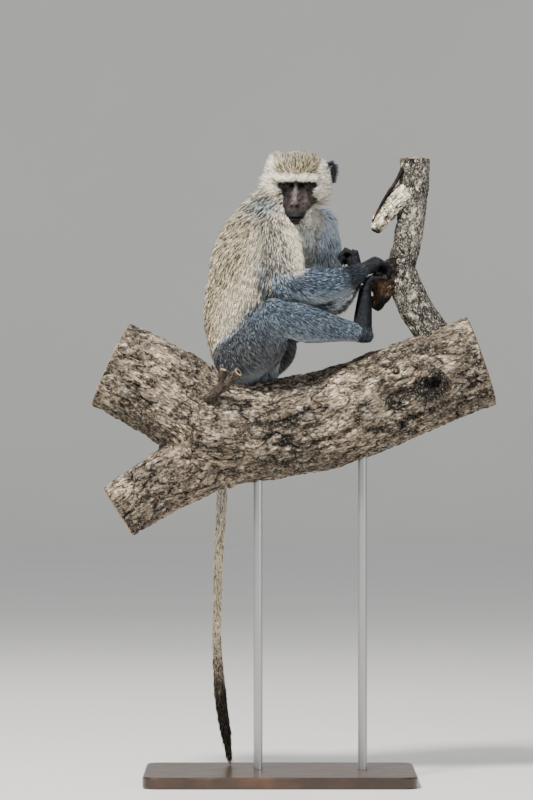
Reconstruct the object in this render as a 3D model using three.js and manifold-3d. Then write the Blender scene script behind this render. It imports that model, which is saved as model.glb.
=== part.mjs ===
// A life-size vervet monkey (Chlorocebus pygerythrus) sitting on a short cut length of tree limb.
// It braces both feet against a thin upright branch, holds on with its hands and turns its head to one side,
// and its long tail hangs down behind the limb. A flat base and two rods carry the limb.
// Millimetres. +Z is up and +X the way the feet point. The animal's right side is at -Y. The origin is the
// centre of the base's underside.
import * as THREE from 'three';
import { LoftGeometry } from 'three/addons/geometries/LoftGeometry.js';
import { mergeVertices } from 'three/addons/utils/BufferGeometryUtils.js';
import Module from 'manifold-3d';

const wasm = await Module();
wasm.setup();

const V = (x, y, z) => new THREE.Vector3(x, y, z);
const DEG = Math.PI / 180;

// ---------------------------------------------------------------- driving dimensions

const GAP = 0.3; // between nodes that touch

// Joints of the skeleton, at the middle of the flesh there.
const JOINT = {
  neck: V(12, 10, 896),
  head: V(31, -8, 936), // middle of the braincase
  shoulderRight: V(-6, -42, 858),
  elbowRight: V(10, -74, 769),
  wristRight: V(124, -39, 789),
  shoulderLeft: V(62, 38, 868),
  elbowLeft: V(66, 70, 748),
  wristLeft: V(119, 2, 786),
  hipRight: V(-66, -20, 652),
  kneeRight: V(-9, -98, 722),
  heelRight: V(130.5, -30, 689),
  hipLeft: V(-42, 56, 652),
  kneeLeft: V(2, 124, 722),
  heelLeft: V(127, 36, 690),
};

// The trunk of the body from the seat to the base of the neck: middle, half width, half depth, and how far
// the animal's front is turned from +X towards -Y, in degrees.
const TORSO = [
  { at: V(-42, 16, 612), wide: 36, deep: 34, turn: 14 },
  { at: V(-45, 16, 634), wide: 48, deep: 44, turn: 15 },
  { at: V(-54, 16, 666), wide: 56, deep: 54, turn: 18 },
  { at: V(-62, 12, 716), wide: 58, deep: 58, turn: 25 },
  { at: V(-53, 6, 768), wide: 59, deep: 65, turn: 33 },
  { at: V(-36, 1, 817), wide: 65, deep: 70, turn: 40 },
  { at: V(-11, 0, 856), wide: 64, deep: 66, turn: 45 },
  { at: V(9, 1, 884), wide: 53, deep: 55, turn: 45 },
];
const TORSO_CUTS = { pelvis: [0, 2.5], abdomen: [2.5, 4.5], chest: [4.5, 7] }; // in stations from the seat

// The tail's middle line from the rump down to its tip, with its half thickness.
const TAIL = [
  { at: V(-78, 46, 650), half: 15 },
  { at: V(-92, 72, 640), half: 13.5 },
  { at: V(-96, 97, 606), half: 12 },
  { at: V(-94, 102, 545), half: 11 },
  { at: V(-91, 102, 452), half: 10.4 },
  { at: V(-96, 101, 343), half: 9.2 },
  { at: V(-99, 100, 219), half: 8.6 },
  { at: V(-93, 99, 126), half: 9.4 },
  { at: V(-84, 98, 62), half: 7.6 },
  { at: V(-79, 97, 28), half: 1.4 },
];
const TAIL_CUTS = {
  tail_root: [0, 2.5],
  tail_upper: [2.5, 4.5],
  tail_middle: [4.5, 6.4],
  tail_lower: [6.4, 7.6],
  tail_tip: [7.6, 9],
};

// The head's own frame: turned and nodded from facing -Y, with x forward, y to the animal's left and z up.
const HEAD_TURN = 9; // degrees towards -X
const HEAD_NOD = 10; // degrees down
const BRAINCASE = { at: V(-4, 0, 6), half: V(47, 49, 37) };
const RUFF = { at: V(4, 0, -14), half: V(27, 55, 44) }; // out to the tips of the whiskers
const EYE = { out: 14.5, forward: 30, up: -8, radius: 9.6 };
const MUZZLE = [
  { at: V(14, 0, -20), wide: 29, deep: 27 },
  { at: V(40, 0, -28), wide: 23, deep: 21 },
  { at: V(52, 0, -41), wide: 19, deep: 17 },
  { at: V(57, 0, -51), wide: 16, deep: 13 },
];
const MOUTH_UP = -54;
const EAR = { back: -13, out: 47, up: 6, wide: 12, tall: 17, cup: 7 };

// Limbs of the tree: middle line and half thickness.
const LIMB = [
  { at: V(-118, 5, 546), half: 84 },
  { at: V(-85, 5, 543), half: 82 },
  { at: V(-28, 5, 545), half: 78 },
  { at: V(31, 5, 553), half: 76 },
  { at: V(93, 5, 568), half: 76 },
  { at: V(186, 5, 603), half: 74 },
  { at: V(263, 5, 635), half: 72 },
  { at: V(312, 5, 652), half: 71 },
];
const FORK_UPPER = [
  { at: V(-80, 6, 548), half: 74 },
  { at: V(-150, 8, 586), half: 73 },
  { at: V(-205, 10, 618), half: 71 },
  { at: V(-262, 12, 645), half: 70 },
];
const FORK_LOWER = [
  { at: V(-80, 2, 520), half: 60 },
  { at: V(-130, -2, 492), half: 52 },
  { at: V(-185, -6, 460), half: 47 },
  { at: V(-250, -10, 419), half: 44 },
];
const UPRIGHT = [
  { at: V(282, 6, 640), half: 30 },
  { at: V(237, 5, 695), half: 27 },
  { at: V(211, 4, 732), half: 26 },
  { at: V(195, 3, 769), half: 25 },
  { at: V(189, 3, 800), half: 22 },
  { at: V(197, 3, 832), half: 22 },
  { at: V(204, 3, 880), half: 22 },
  { at: V(208, 2, 925), half: 23 },
  { at: V(209, 2, 966), half: 23 },
];
const SNAG = [ // a rotten, broken spur that the feet grip
  { at: V(192, 3, 806), half: 19 },
  { at: V(177, 0, 784), half: 17.5 },
  { at: V(162, -2, 760), half: 15 },
  { at: V(150, -3, 738), half: 9 },
];
const SNAG_SPUR = [
  { at: V(184, 0, 800), half: 15 },
  { at: V(163, -7, 790), half: 12.5 },
  { at: V(149, -10, 779), half: 9 },
];
const STUB = [ // a broken side branch
  { at: V(206, 2, 918), half: 20 },
  { at: V(182, -4, 900), half: 17.5 },
  { at: V(161, -8, 876), half: 14 },
  { at: V(148, -10, 856), half: 8.5 },
];
const KNOT = [ // a sawn-off branch that faces the viewer's side
  { at: V(232, -50, 612), half: 25 },
  { at: V(234, -76, 614), half: 23 },
  { at: V(235, -90, 615), half: 21 },
];
const TWIG = [
  { at: V(-110, -58, 588), half: 11 },
  { at: V(-102, -74, 600), half: 9 },
  { at: V(-84, -82, 616), half: 7.5 },
  { at: V(-64, -96, 634), half: 7.5 },
];
const TWIG_FORK = [
  { at: V(-88, -82, 614), half: 5.5 },
  { at: V(-90, -88, 626), half: 5 },
  { at: V(-87, -92, 638), half: 5.5 },
];

const FLAP = [ // a strip of loose bark that hangs from the upright
  { at: V(194, -4, 956), wide: 8, deep: 4 },
  { at: V(180, -9, 930), wide: 9, deep: 3 },
  { at: V(162, -13, 903), wide: 7, deep: 2.5 },
  { at: V(143, -15, 868), wide: 4, deep: 1.6 },
];

// The long coat, as flat locks whose tips reach the outline above. The nodes they grow from are a core that
// lies this far inside that outline.
const COAT = { torso: 8, neck: 8, ruff: 11 };
const LOCK = {
  torso: { length: 60, wide: 37, thick: 3.5, lift: 0.16, droop: 0.08 },
  neck: { length: 42, wide: 37, thick: 3.2, lift: 0.2, droop: 0.04 },
  cheek: { length: 32, wide: 21, thick: 3, lift: 0.3, droop: 0.16 },
  brow: { length: 15, wide: 11, thick: 3, lift: 0.5, droop: 0.2 },
  chin: { length: 20, wide: 12, thick: 3, lift: 0.12, droop: -0.05 },
};
const TORSO_ROWS = { first: 6.75, last: 0.9, step: 0.86, spacing: 37, half: 125 }; // stations, mm and degrees
const CHEEK_ROWS = [ // angle back from the face's front, angles round the face from its top, count on a side
  { back: 50, from: 62, to: 166, count: 5 },
  { back: 75, from: 50, to: 170, count: 5 },
  { back: 101, from: 48, to: 166, count: 4 },
];
const BROW_ROWS = [{ up: 8, back: 37, count: 7, half: 34 }];
const CHIN_ROWS = [{ forward: 52, up: -64, count: 2, half: 6 }, { forward: 38, up: -60, count: 3, half: 17 }];

// The stand.
const BASE = { long: 420, wide: 290, thick: 18, corner: 24, bevel: 2.5 };
const ROD = { half: 7, x: [-34, 128], y: 5, top: 540, sides: 20 };

// ---------------------------------------------------------------- geometry helpers

// A three.js geometry as a manifold solid.
function solid(geometry) {
  const bare = new THREE.BufferGeometry();
  bare.setAttribute('position', geometry.getAttribute('position'));
  bare.setIndex(geometry.getIndex());
  const merged = mergeVertices(bare, 1e-4);
  const mesh = new wasm.Mesh({
    numProp: 3,
    vertProperties: new Float32Array(merged.attributes.position.array),
    triVerts: new Uint32Array(merged.index.array),
  });
  return new wasm.Manifold(mesh);
}

const join = (...pieces) => pieces.reduce((all, piece) => all.add(piece));
const cut = (piece, ...tools) => tools.reduce((left, tool) => left.subtract(tool), piece);

// The largest closed surface of a solid, without the scraps that a cut leaves.
function largest(piece) {
  return piece.decompose().reduce((best, body) => (body.volume() > best.volume() ? body : best));
}

// A manifold solid as a three.js geometry in the frame of the group that will hold it.
function geometryOf(piece, holder) {
  const mesh = piece.getMesh();
  const geometry = new THREE.BufferGeometry();
  geometry.setAttribute('position', new THREE.BufferAttribute(new Float32Array(mesh.vertProperties), 3));
  geometry.setIndex(new THREE.BufferAttribute(new Uint32Array(mesh.triVerts), 1));
  holder.updateWorldMatrix(true, false);
  geometry.applyMatrix4(holder.matrixWorld.clone().invert());
  geometry.computeVertexNormals();
  return geometry;
}

// Smooth values between stations: place, half width, half depth and turn at u, counted in stations.
class Profile {
  constructor(stations) {
    this.spans = stations.length - 1;
    this.line = new THREE.CatmullRomCurve3(stations.map((s) => s.at), false, 'centripetal');
    const sizes = stations.map((s) => V(s.wide ?? s.half, s.deep ?? s.half, s.turn ?? 0));
    this.sizes = new THREE.CatmullRomCurve3(sizes, false, 'catmullrom', 0.5);
  }

  // The frame and half sizes of the section at u: along the line, across it, and to its front.
  section(u, front, grow = 0) {
    const share = THREE.MathUtils.clamp(u / this.spans, 0, 1);
    const size = this.sizes.getPoint(share);
    const along = this.line.getTangent(share);
    const facing = front ?? V(Math.cos(size.z * DEG), -Math.sin(size.z * DEG), 0);
    const across = along.clone().cross(facing).normalize();
    const deep = across.clone().cross(along).normalize();
    return { at: this.line.getPoint(share), along, across, deep, wide: size.x + grow, depth: size.y + grow };
  }
}

// One ring of a section, shrunk by scale and moved along the line.
function ring(s, sides, scale = 1, ahead = 0) {
  const middle = s.at.clone().addScaledVector(s.along, ahead);
  return Array.from({ length: sides }, (_, i) => {
    const angle = (2 * Math.PI * i) / sides;
    return middle
      .clone()
      .addScaledVector(s.deep, s.depth * scale * Math.cos(angle))
      .addScaledVector(s.across, s.wide * scale * Math.sin(angle));
  });
}

const DOME_SMALL = [[0.6, 0.78], [0.93, 0.36]];
const DOME = [[0.42, 0.89], [0.78, 0.6], [0.97, 0.22]]; // how far out each ring lies, and its size

// A body swept along a profile from station a to station b, with a flat or a domed end each way.
// round gives the domes' length as a share of the half depth there, and 0 makes a flat end.
function sweep(stations, options = {}) {
  const { sides = 14, steps = 2, a = 0, b = stations.length - 1, round = [0.7, 0.7] } = options;
  const { front, dome = DOME, grow = 0 } = options;
  const profile = new Profile(stations);
  const count = Math.max(2, Math.round((b - a) * steps) + 1);
  const rings = [];
  const first = profile.section(a, front, grow);
  const last = profile.section(b, front, grow);
  if (round[0] > 0) {
    for (const [out, size] of dome.toReversed()) {
      rings.push(ring(first, sides, size, -out * round[0] * first.depth));
    }
  }
  for (let i = 0; i < count; i++) {
    const section = profile.section(a + ((b - a) * i) / (count - 1), front, grow);
    rings.push(ring(section, sides));
  }
  if (round[1] > 0) {
    for (const [out, size] of dome) rings.push(ring(last, sides, size, out * round[1] * last.depth));
  }
  return solid(new LoftGeometry(rings, { capStart: true, capEnd: true }));
}

// An ellipsoid, in a frame that a matrix places.
function ellipsoid(at, half, matrix = new THREE.Matrix4(), detail = [20, 14]) {
  const geometry = new THREE.SphereGeometry(1, ...detail);
  geometry.scale(half.x, half.y, half.z);
  geometry.translate(at.x, at.y, at.z);
  geometry.applyMatrix4(matrix);
  return solid(geometry);
}

// A seeded draw between -1 and 1, the same on every run.
let seed = 7;
function draw() {
  seed = (seed * 16807) % 2147483647;
  return (2 * seed) / 2147483647 - 1;
}

// One flat, tapered lock of coat: its root is sunk below the surface and it bends over along the coat's lie.
const LOCK_SHAPE = [[-0.05, -4.5, 0.6, 1], [0.4, 0, 1, 0.9], [1, 0, 0.13, 0.3]];
function lock({ root, out, lie }, size, grow = 0) {
  const length = size.length * (1 + 0.16 * draw());
  const side = out.clone().cross(lie).normalize();
  const run = lie.clone().addScaledVector(side, 0.16 * draw()).normalize();
  const roll = side.clone().addScaledVector(out, 0.2 * draw()).normalize();
  const face = roll.clone().cross(run).normalize();
  const rings = LOCK_SHAPE.map(([share, sunk, wide, thick], i) => {
    const rise = size.lift * length * share - size.droop * length * share * share + sunk;
    const middle = root.clone().addScaledVector(run, share * (length + grow)).addScaledVector(out, rise);
    const halfWide = (size.wide * wide) / 2 + grow;
    const halfThick = (size.thick * thick) / 2 + grow;
    return [V(0, 1, 0), V(1, 0, 0), V(0, -1, 0), V(-1, 0, 0)].map((corner) => middle
      .clone()
      .addScaledVector(roll, corner.x * halfWide)
      .addScaledVector(face, corner.y * halfThick));
  });
  return solid(new LoftGeometry(rings, { capStart: true, capEnd: true }));
}

// The same locks again for any grow: the draw starts from the same seed.
function locks(places, size, grow) {
  seed = 7 + places.length;
  return places.map((place) => lock(place, place.size ?? size, grow)).reduce((all, piece) => all.add(piece));
}

const placed = (stations, matrix) => stations.map((s) => ({ ...s, at: s.at.clone().applyMatrix4(matrix) }));
const turned = (direction, matrix) => direction.clone().transformDirection(matrix);

// A frame from its origin, the way it points and the side that its back faces. Its y runs to the thumb.
function frameOf(origin, along, dorsal, thumbSide) {
  const x = along.clone().normalize();
  const y = dorsal.clone().cross(x).normalize().multiplyScalar(thumbSide);
  const z = dorsal.clone().addScaledVector(x, -dorsal.dot(x)).normalize();
  return new THREE.Matrix4().makeBasis(x, y, z).setPosition(origin);
}

// ---------------------------------------------------------------- materials

function paint(color, roughness, metalness = 0) {
  return new THREE.MeshStandardMaterial({ color, roughness, metalness });
}

const MATERIAL = {
  backFur: paint(0x8d8672, 0.9),
  paleFur: paint(0xd8d2c2, 0.9),
  greyFur: paint(0x6f7a84, 0.9),
  darkSkin: paint(0x2b2726, 0.6),
  eye: paint(0x2a1408, 0.1),
  bark: paint(0x8a7867, 0.95),
  rot: paint(0x4a2c1c, 0.95),
  base: paint(0x2a2623, 0.5),
  steel: paint(0x77787a, 0.35, 0.9),
};

// ---------------------------------------------------------------- the scene graph

const part = new THREE.Group();
const perch = new THREE.Group();
const stand = new THREE.Group();
const monkey = new THREE.Group();
const headGroup = new THREE.Group();
headGroup.position.copy(JOINT.head);
headGroup.rotation.set(0, HEAD_NOD * DEG, (-90 - HEAD_TURN) * DEG, 'ZYX');
monkey.add(headGroup);
part.add(stand, perch, monkey);
headGroup.updateWorldMatrix(true, false);
const HEAD_FRAME = headGroup.matrixWorld.clone();

// Nodes are listed in order of who keeps its full shape: each one is cut by all those before it, grown by the
// gap, so that neighbours meet face to face. Locks are added last, cut clear of every other node.
const nodes = [];
let taken = null;
function addNode(holder, name, material, make, { fixed = null, coat = null } = {}) {
  const shape = fixed ?? make(0);
  const grown = make(GAP);
  nodes.push({ holder, name, material, grown, coat, solid: taken ? shape.subtract(taken) : shape });
  taken = taken ? taken.add(grown) : grown;
}

function finishNodes() {
  let coats = null;
  for (const node of nodes) {
    if (!node.coat) continue;
    const others = nodes.filter((other) => other !== node).map((other) => other.grown);
    const clear = cut(node.coat(0), join(...others), ...(coats ? [coats] : []));
    node.solid = node.solid.add(clear);
    coats = coats ? coats.add(node.coat(GAP)) : node.coat(GAP);
  }
  for (const { holder, name, material, solid: shape } of nodes) {
    const mesh = new THREE.Mesh(geometryOf(largest(shape), holder), material);
    mesh.name = name;
    holder.add(mesh);
  }
}

// ---------------------------------------------------------------- the tree and the stand

const woodSides = { sides: 20, steps: 1, front: V(0, -1, 0) };
const limb = (grow = 0) => sweep(LIMB, { ...woodSides, sides: 22, round: [0.5, 0], grow });
const forkUpper = (grow = 0) => sweep(FORK_UPPER, { ...woodSides, round: [0, 0], grow });
const upright = (grow = 0) => sweep(UPRIGHT, { ...woodSides, sides: 16, round: [0, 0], grow });
const snag = (grow = 0) => join(
  sweep(SNAG, { ...woodSides, sides: 9, round: [0, 0.5], grow }),
  sweep(SNAG_SPUR, { ...woodSides, sides: 8, round: [0, 0.5], grow }),
);
const forkLower = (grow = 0) => sweep(FORK_LOWER, { ...woodSides, sides: 18, round: [0, 0], grow });
const flapOptions = { sides: 6, steps: 1, round: [0, 0], front: V(-0.6, 0, 0.8) };
const flap = (grow = 0) => sweep(FLAP, { ...flapOptions, grow });
const stub = (grow = 0) => sweep(STUB, { ...woodSides, sides: 9, round: [0, 0.4], grow });
const knot = (grow = 0) => sweep(KNOT, { sides: 14, steps: 1, round: [0, 0], front: V(0, 0, 1), grow });

function twig(grow = 0) {
  const options = { sides: 8, steps: 1, round: [0, 0], front: V(0, -0.5, 1), grow };
  return join(sweep(TWIG, options), sweep(TWIG_FORK, options));
}

function buildPerch() {
  addNode(perch, 'perch_limb', MATERIAL.bark, limb);
  addNode(perch, 'perch_fork_upper', MATERIAL.bark, forkUpper);
  addNode(perch, 'perch_fork_lower', MATERIAL.bark, forkLower);
  addNode(perch, 'perch_upright', MATERIAL.bark, upright);
  addNode(perch, 'perch_snag', MATERIAL.rot, snag);
  addNode(perch, 'perch_stub', MATERIAL.bark, stub);
  addNode(perch, 'perch_flap', MATERIAL.rot, flap);
  addNode(perch, 'perch_knot', MATERIAL.bark, knot);
  addNode(perch, 'perch_twig', MATERIAL.bark, twig);
}

function buildStand() {
  const { long, wide, thick, corner, bevel } = BASE;
  const outline = new THREE.Shape();
  const x = long / 2 - bevel;
  const y = wide / 2 - bevel;
  const r = corner - bevel;
  outline.absarc(x - r, y - r, r, 0, Math.PI / 2);
  outline.absarc(-x + r, y - r, r, Math.PI / 2, Math.PI);
  outline.absarc(-x + r, -y + r, r, Math.PI, 1.5 * Math.PI);
  outline.absarc(x - r, -y + r, r, 1.5 * Math.PI, 2 * Math.PI);
  const plate = new THREE.ExtrudeGeometry(outline, {
    depth: thick - 2 * bevel,
    bevelThickness: bevel,
    bevelSize: bevel,
    bevelSegments: 1,
    curveSegments: 4,
    steps: 1,
  });
  plate.translate(0, 0, bevel);
  const plateSolid = solid(plate);
  addNode(stand, 'stand_base', MATERIAL.base, () => plateSolid);
  ROD.x.forEach((rodX, i) => {
    addNode(stand, `stand_rod_${i + 1}`, MATERIAL.steel, (grow) => {
      const foot = thick + GAP;
      const rod = new THREE.CylinderGeometry(ROD.half + grow, ROD.half + grow, ROD.top - foot, ROD.sides);
      rod.rotateX(Math.PI / 2);
      rod.translate(rodX, ROD.y, (ROD.top + foot) / 2);
      return solid(rod);
    });
  });
}

// ---------------------------------------------------------------- the body

// The lengths of a long body, cut across at the given stations with a gap between them.
function addLengths(stations, cuts, options, round, materialOf, coatOf = () => null) {
  const end = stations.length - 1;
  const span = (u) => {
    const before = Math.min(Math.floor(u), end - 1);
    return stations[before].at.distanceTo(stations[before + 1].at);
  };
  for (const [name, [a, b]] of Object.entries(cuts)) {
    const make = (grow) => sweep(stations, {
      ...options,
      a: a === 0 ? 0 : a + (GAP / 2 - grow) / span(a),
      b: b === end ? end : b - (GAP / 2 - grow) / span(b),
      round: [a === 0 ? round[0] : 0, b === end ? round[1] : 0],
      grow,
    });
    addNode(monkey, name, materialOf(name), make, { coat: coatOf(a, b) });
  }
}

// Rows of lock roots round the torso between two stations, on every side but its front, each with the way
// out of the surface and the way the coat lies, which is down the body.
function torsoRoots(a, b) {
  const profile = new Profile(TORSO_CORE);
  const roots = [];
  let row = 0;
  for (let u = TORSO_ROWS.first; u > TORSO_ROWS.last; u -= TORSO_ROWS.step) {
    row += 1;
    if (u < a || u >= b) continue;
    const s = profile.section(u);
    const radius = (s.wide + s.depth) / 2;
    const step = TORSO_ROWS.spacing / radius / DEG;
    const count = Math.floor(TORSO_ROWS.half / step);
    for (let i = -count; i <= count; i++) {
      const angle = (i + (row % 2) / 2 + 0.12 * draw()) * step * DEG;
      if (Math.abs(angle) > TORSO_ROWS.half * DEG) continue;
      const out = s.deep.clone().multiplyScalar(-Math.cos(angle)).addScaledVector(s.across, Math.sin(angle));
      const root = s.at.clone().addScaledVector(s.deep, -s.depth * Math.cos(angle));
      root.addScaledVector(s.across, s.wide * Math.sin(angle));
      roots.push({ root, out, lie: s.along.clone().negate() });
    }
  }
  return roots;
}

const TORSO_CORE = TORSO.map((s) => ({ ...s, wide: s.wide - COAT.torso, deep: s.deep - COAT.torso }));
function buildTorso() {
  const coatOf = (a, b) => {
    const roots = torsoRoots(a, b);
    return (grow) => locks(roots, LOCK.torso, grow);
  };
  addLengths(TORSO_CORE, TORSO_CUTS, { sides: 18, steps: 2 }, [0.3, 0.5], () => MATERIAL.backFur, coatOf);
}

function buildTail() {
  const dark = ['tail_lower', 'tail_tip'];
  const materialOf = (name) => (dark.includes(name) ? MATERIAL.darkSkin : MATERIAL.greyFur);
  addLengths(TAIL, TAIL_CUTS, { sides: 11, steps: 1.5, front: V(0, 1, 0.2) }, [0, 0.6], materialOf);
}

// ---------------------------------------------------------------- the limbs of the animal

const between = (p, q, share, shift = V(0, 0, 0)) => p.clone().lerp(q, share).add(shift);

function upperArm(side, grow = 0) {
  const shoulder = JOINT[`shoulder${side}`];
  const elbow = JOINT[`elbow${side}`];
  const stations = [
    { at: shoulder, wide: 26, deep: 29 },
    { at: between(shoulder, elbow, 0.35, V(3, 0, 0)), wide: 27, deep: 32 },
    { at: between(shoulder, elbow, 0.7, V(4, 0, 0)), wide: 26, deep: 31 },
    { at: elbow, wide: 23, deep: 26 },
  ];
  return sweep(stations, { sides: 14, steps: 1, round: [0.9, 0.8], front: V(1, 0, 0.1), grow });
}

function forearm(side, grow = 0) {
  const elbow = JOINT[`elbow${side}`];
  const wrist = JOINT[`wrist${side}`];
  const stations = [
    { at: between(elbow, wrist, 0.02), wide: 16, deep: 18 },
    { at: between(elbow, wrist, 0.27, V(0, 0, -5)), wide: 22, deep: 26 },
    { at: between(elbow, wrist, 0.55, V(0, 0, -7)), wide: 18, deep: 21 },
    { at: between(elbow, wrist, 0.85, V(0, 0, -3)), wide: 12.5, deep: 14 },
    { at: wrist, wide: 11, deep: 11 },
  ];
  return sweep(stations, { sides: 14, steps: 1, round: [0.8, 0.3], front: V(0, 0, 1), grow });
}

function thigh(side, grow = 0) {
  const hip = JOINT[`hip${side}`];
  const knee = JOINT[`knee${side}`];
  const stations = [
    { at: hip, wide: 40, deep: 42 },
    { at: between(hip, knee, 0.4, V(10, 0, -8)), wide: 40, deep: 43 },
    { at: between(hip, knee, 0.75, V(6, 0, -3)), wide: 32, deep: 34 },
    { at: knee, wide: 25, deep: 26 },
  ];
  return sweep(stations, { sides: 14, steps: 1, round: [0.8, 0.9], front: V(0.75, 0, -0.66), grow });
}

function ankle(side) {
  return JOINT[`heel${side}`].clone().add(V(-10, 0, 6));
}

function shin(side, grow = 0) {
  const knee = JOINT[`knee${side}`];
  const end = ankle(side);
  const stations = [
    { at: between(knee, end, 0.03, V(0, 0, -3)), wide: 20, deep: 21 },
    { at: between(knee, end, 0.25, V(0, 0, -3)), wide: 27, deep: 30 },
    { at: between(knee, end, 0.45, V(0, 0, -3)), wide: 24, deep: 27 },
    { at: between(knee, end, 0.75, V(0, 0, -1)), wide: 17, deep: 19 },
    { at: end, wide: 13.5, deep: 14 },
  ];
  return sweep(stations, { sides: 16, steps: 1, round: [0.8, 0.5], front: V(0, 0, 1), grow });
}

// A finger or toe: bones of the given lengths, each bent further towards the palm or sole.
function digit({ base, lengths, bends, lean = 0, half }, frame, grow) {
  const points = [base];
  let at = base.clone();
  lengths.forEach((length, i) => {
    const bend = bends[i] * DEG;
    const level = Math.cos(bend);
    const step = V(level * Math.cos(lean * DEG), level * Math.sin(lean * DEG), -Math.sin(bend));
    at = at.clone().addScaledVector(step, length);
    points.push(at);
  });
  const stations = points.map((p, i) => ({ at: p, half: half * (1 - (0.28 * i) / (points.length - 1)) }));
  const front = turned(V(0.05, 1, 0), frame);
  const options = { sides: 5, steps: 1, round: [0, 0.8], dome: DOME_SMALL, front, grow };
  return sweep(placed(stations, frame), options);
}

const HAND = {
  palm: 35, fingers: [15, 11, 8], spread: [-10.5, -3.5, 3.5, 10.5], scale: [0.84, 1, 0.98, 0.88],
};
const FOOT = { sole: 76, toes: [14, 10, 8], spread: [-11, -3.8, 3.4, 10.4], scale: [0.86, 1, 0.96, 0.88] };

const HAND_POSE = {
  Right: {
    along: V(0.76, 0.42, 0.5),
    dorsal: V(-0.42, -0.45, 0.79),
    bends: [[38, 84, 128], [44, 92, 136]],
    side: 1,
  },
  Left: {
    along: V(-0.12, 0.18, 0.97),
    dorsal: V(0.95, -0.15, 0.2),
    bends: [[60, 126, 188], [66, 132, 196]],
    side: -1,
  },
};
const FOOT_POSE = {
  Right: { along: V(0.03, 0.04, 1), dorsal: V(-1, 0, 0.04), bends: [[8, 46, 92], [12, 52, 100]], side: 1 },
  Left: {
    along: V(0.04, -0.08, 1), dorsal: V(-1, 0.05, 0.04), bends: [[30, 72, 105], [34, 78, 112]], side: -1,
  },
};

function hand(side, grow = 0) {
  const pose = HAND_POSE[side];
  const frame = frameOf(JOINT[`wrist${side}`], pose.along, pose.dorsal, pose.side);
  const palm = [
    { at: V(0, 0, 0), wide: 10.5, deep: 9.5 },
    { at: V(0.5 * HAND.palm, 0, 0), wide: 14, deep: 8.5 },
    { at: V(HAND.palm, 0, 0), wide: 14.5, deep: 6.5 },
  ];
  const front = turned(V(0, 0, 1), frame);
  const shape = { sides: 10, steps: 1, round: [0.4, 0.6], dome: DOME_SMALL, front, grow };
  const pieces = [sweep(placed(palm, frame), shape)];
  HAND.spread.forEach((y, i) => {
    const lengths = HAND.fingers.map((length) => length * HAND.scale[i]);
    const bends = pose.bends[i % 2];
    const base = V(HAND.palm - 4, y, 0);
    pieces.push(digit({ base, lengths, bends, lean: y * 0.6, half: 4.3 }, frame, grow));
  });
  const thumb = { base: V(9, 9, -3), lengths: [15, 10, 8], bends: [12, 25, 45], lean: 48, half: 4.4 };
  pieces.push(digit(thumb, frame, grow));
  return join(...pieces);
}

function foot(side, grow = 0) {
  const pose = FOOT_POSE[side];
  const frame = frameOf(JOINT[`heel${side}`], pose.along, pose.dorsal, pose.side);
  const sole = [
    { at: V(0, 0, 0), wide: 11.5, deep: 11.5 },
    { at: V(20, 0, 1), wide: 12, deep: 12.5 },
    { at: V(48, 0, 0), wide: 13.5, deep: 10.5 },
    { at: V(FOOT.sole, 0, -1), wide: 15, deep: 7.5 },
  ];
  const front = turned(V(0, 0, 1), frame);
  const shape = { sides: 12, steps: 1, round: [0.9, 0.5], dome: DOME_SMALL, front, grow };
  const pieces = [sweep(placed(sole, frame), shape)];
  FOOT.spread.forEach((y, i) => {
    const lengths = FOOT.toes.map((length) => length * FOOT.scale[i]);
    const bends = pose.bends[i % 2];
    const base = V(FOOT.sole - 4, y, -1);
    pieces.push(digit({ base, lengths, bends, lean: y * 0.5, half: 4.6 }, frame, grow));
  });
  const bigToe = { base: V(38, 9, -2), lengths: [18, 13, 9], bends: [14, 34, 60], lean: 44, half: 5.4 };
  pieces.push(digit(bigToe, frame, grow));
  return join(...pieces);
}

function buildLimbs() {
  const sides = ['Right', 'Left'];
  const add = (name, material, make) => {
    for (const side of sides) {
      addNode(monkey, `${name}_${side.toLowerCase()}`, material, (grow) => make(side, grow));
    }
  };
  add('thigh', MATERIAL.greyFur, thigh);
  add('upper_arm', MATERIAL.backFur, upperArm);
  add('shin', MATERIAL.greyFur, shin);
  add('forearm', MATERIAL.greyFur, forearm);
  add('foot', MATERIAL.darkSkin, foot);
  add('hand', MATERIAL.darkSkin, hand);
}

// ---------------------------------------------------------------- the head and neck

function eyeball(sign, grow = 0) {
  const half = EYE.radius + grow;
  return ellipsoid(V(EYE.forward, sign * EYE.out, EYE.up), V(half, half, half), HEAD_FRAME, [12, 7]);
}

const onHead = (x, y, z) => V(x, y, z).applyMatrix4(HEAD_FRAME);
const headUp = turned(V(0, 0, 1), HEAD_FRAME);
function headSweep(stations, options) {
  return sweep(placed(stations, HEAD_FRAME), { steps: 1, front: headUp, ...options });
}

// A lid: an arc over the eyeball from its inner to its outer corner. lift is how far it bulges up or down.
function lid(sign, lift) {
  const radius = EYE.radius + 0.9;
  const stations = [-1, -0.5, 0, 0.5, 1].map((share) => {
    const across = share * 46 * DEG;
    const rise = lift * Math.cos(share * 90 * DEG) * DEG;
    const out = V(Math.cos(across) * Math.cos(rise), sign * Math.sin(across), Math.sin(rise));
    return { at: out.multiplyScalar(radius).add(V(EYE.forward, sign * EYE.out, EYE.up)), half: 1.7 };
  });
  return headSweep(stations, { sides: 4, round: [0, 0] });
}

// A line round the front of the muzzle, at a height, for the slit of the mouth and for the lips.
function mouthLine(up, wide, deep, out = 0, grow = 0) {
  const stations = [-1, -0.6, 0, 0.6, 1].map((share) => ({
    at: V(67.5 + out - 16 * share * share, 16.5 * share, up + 1.5 * share * share),
    wide,
    deep,
  }));
  return headSweep(stations, { sides: 4, round: [0, 0], grow });
}

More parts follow.
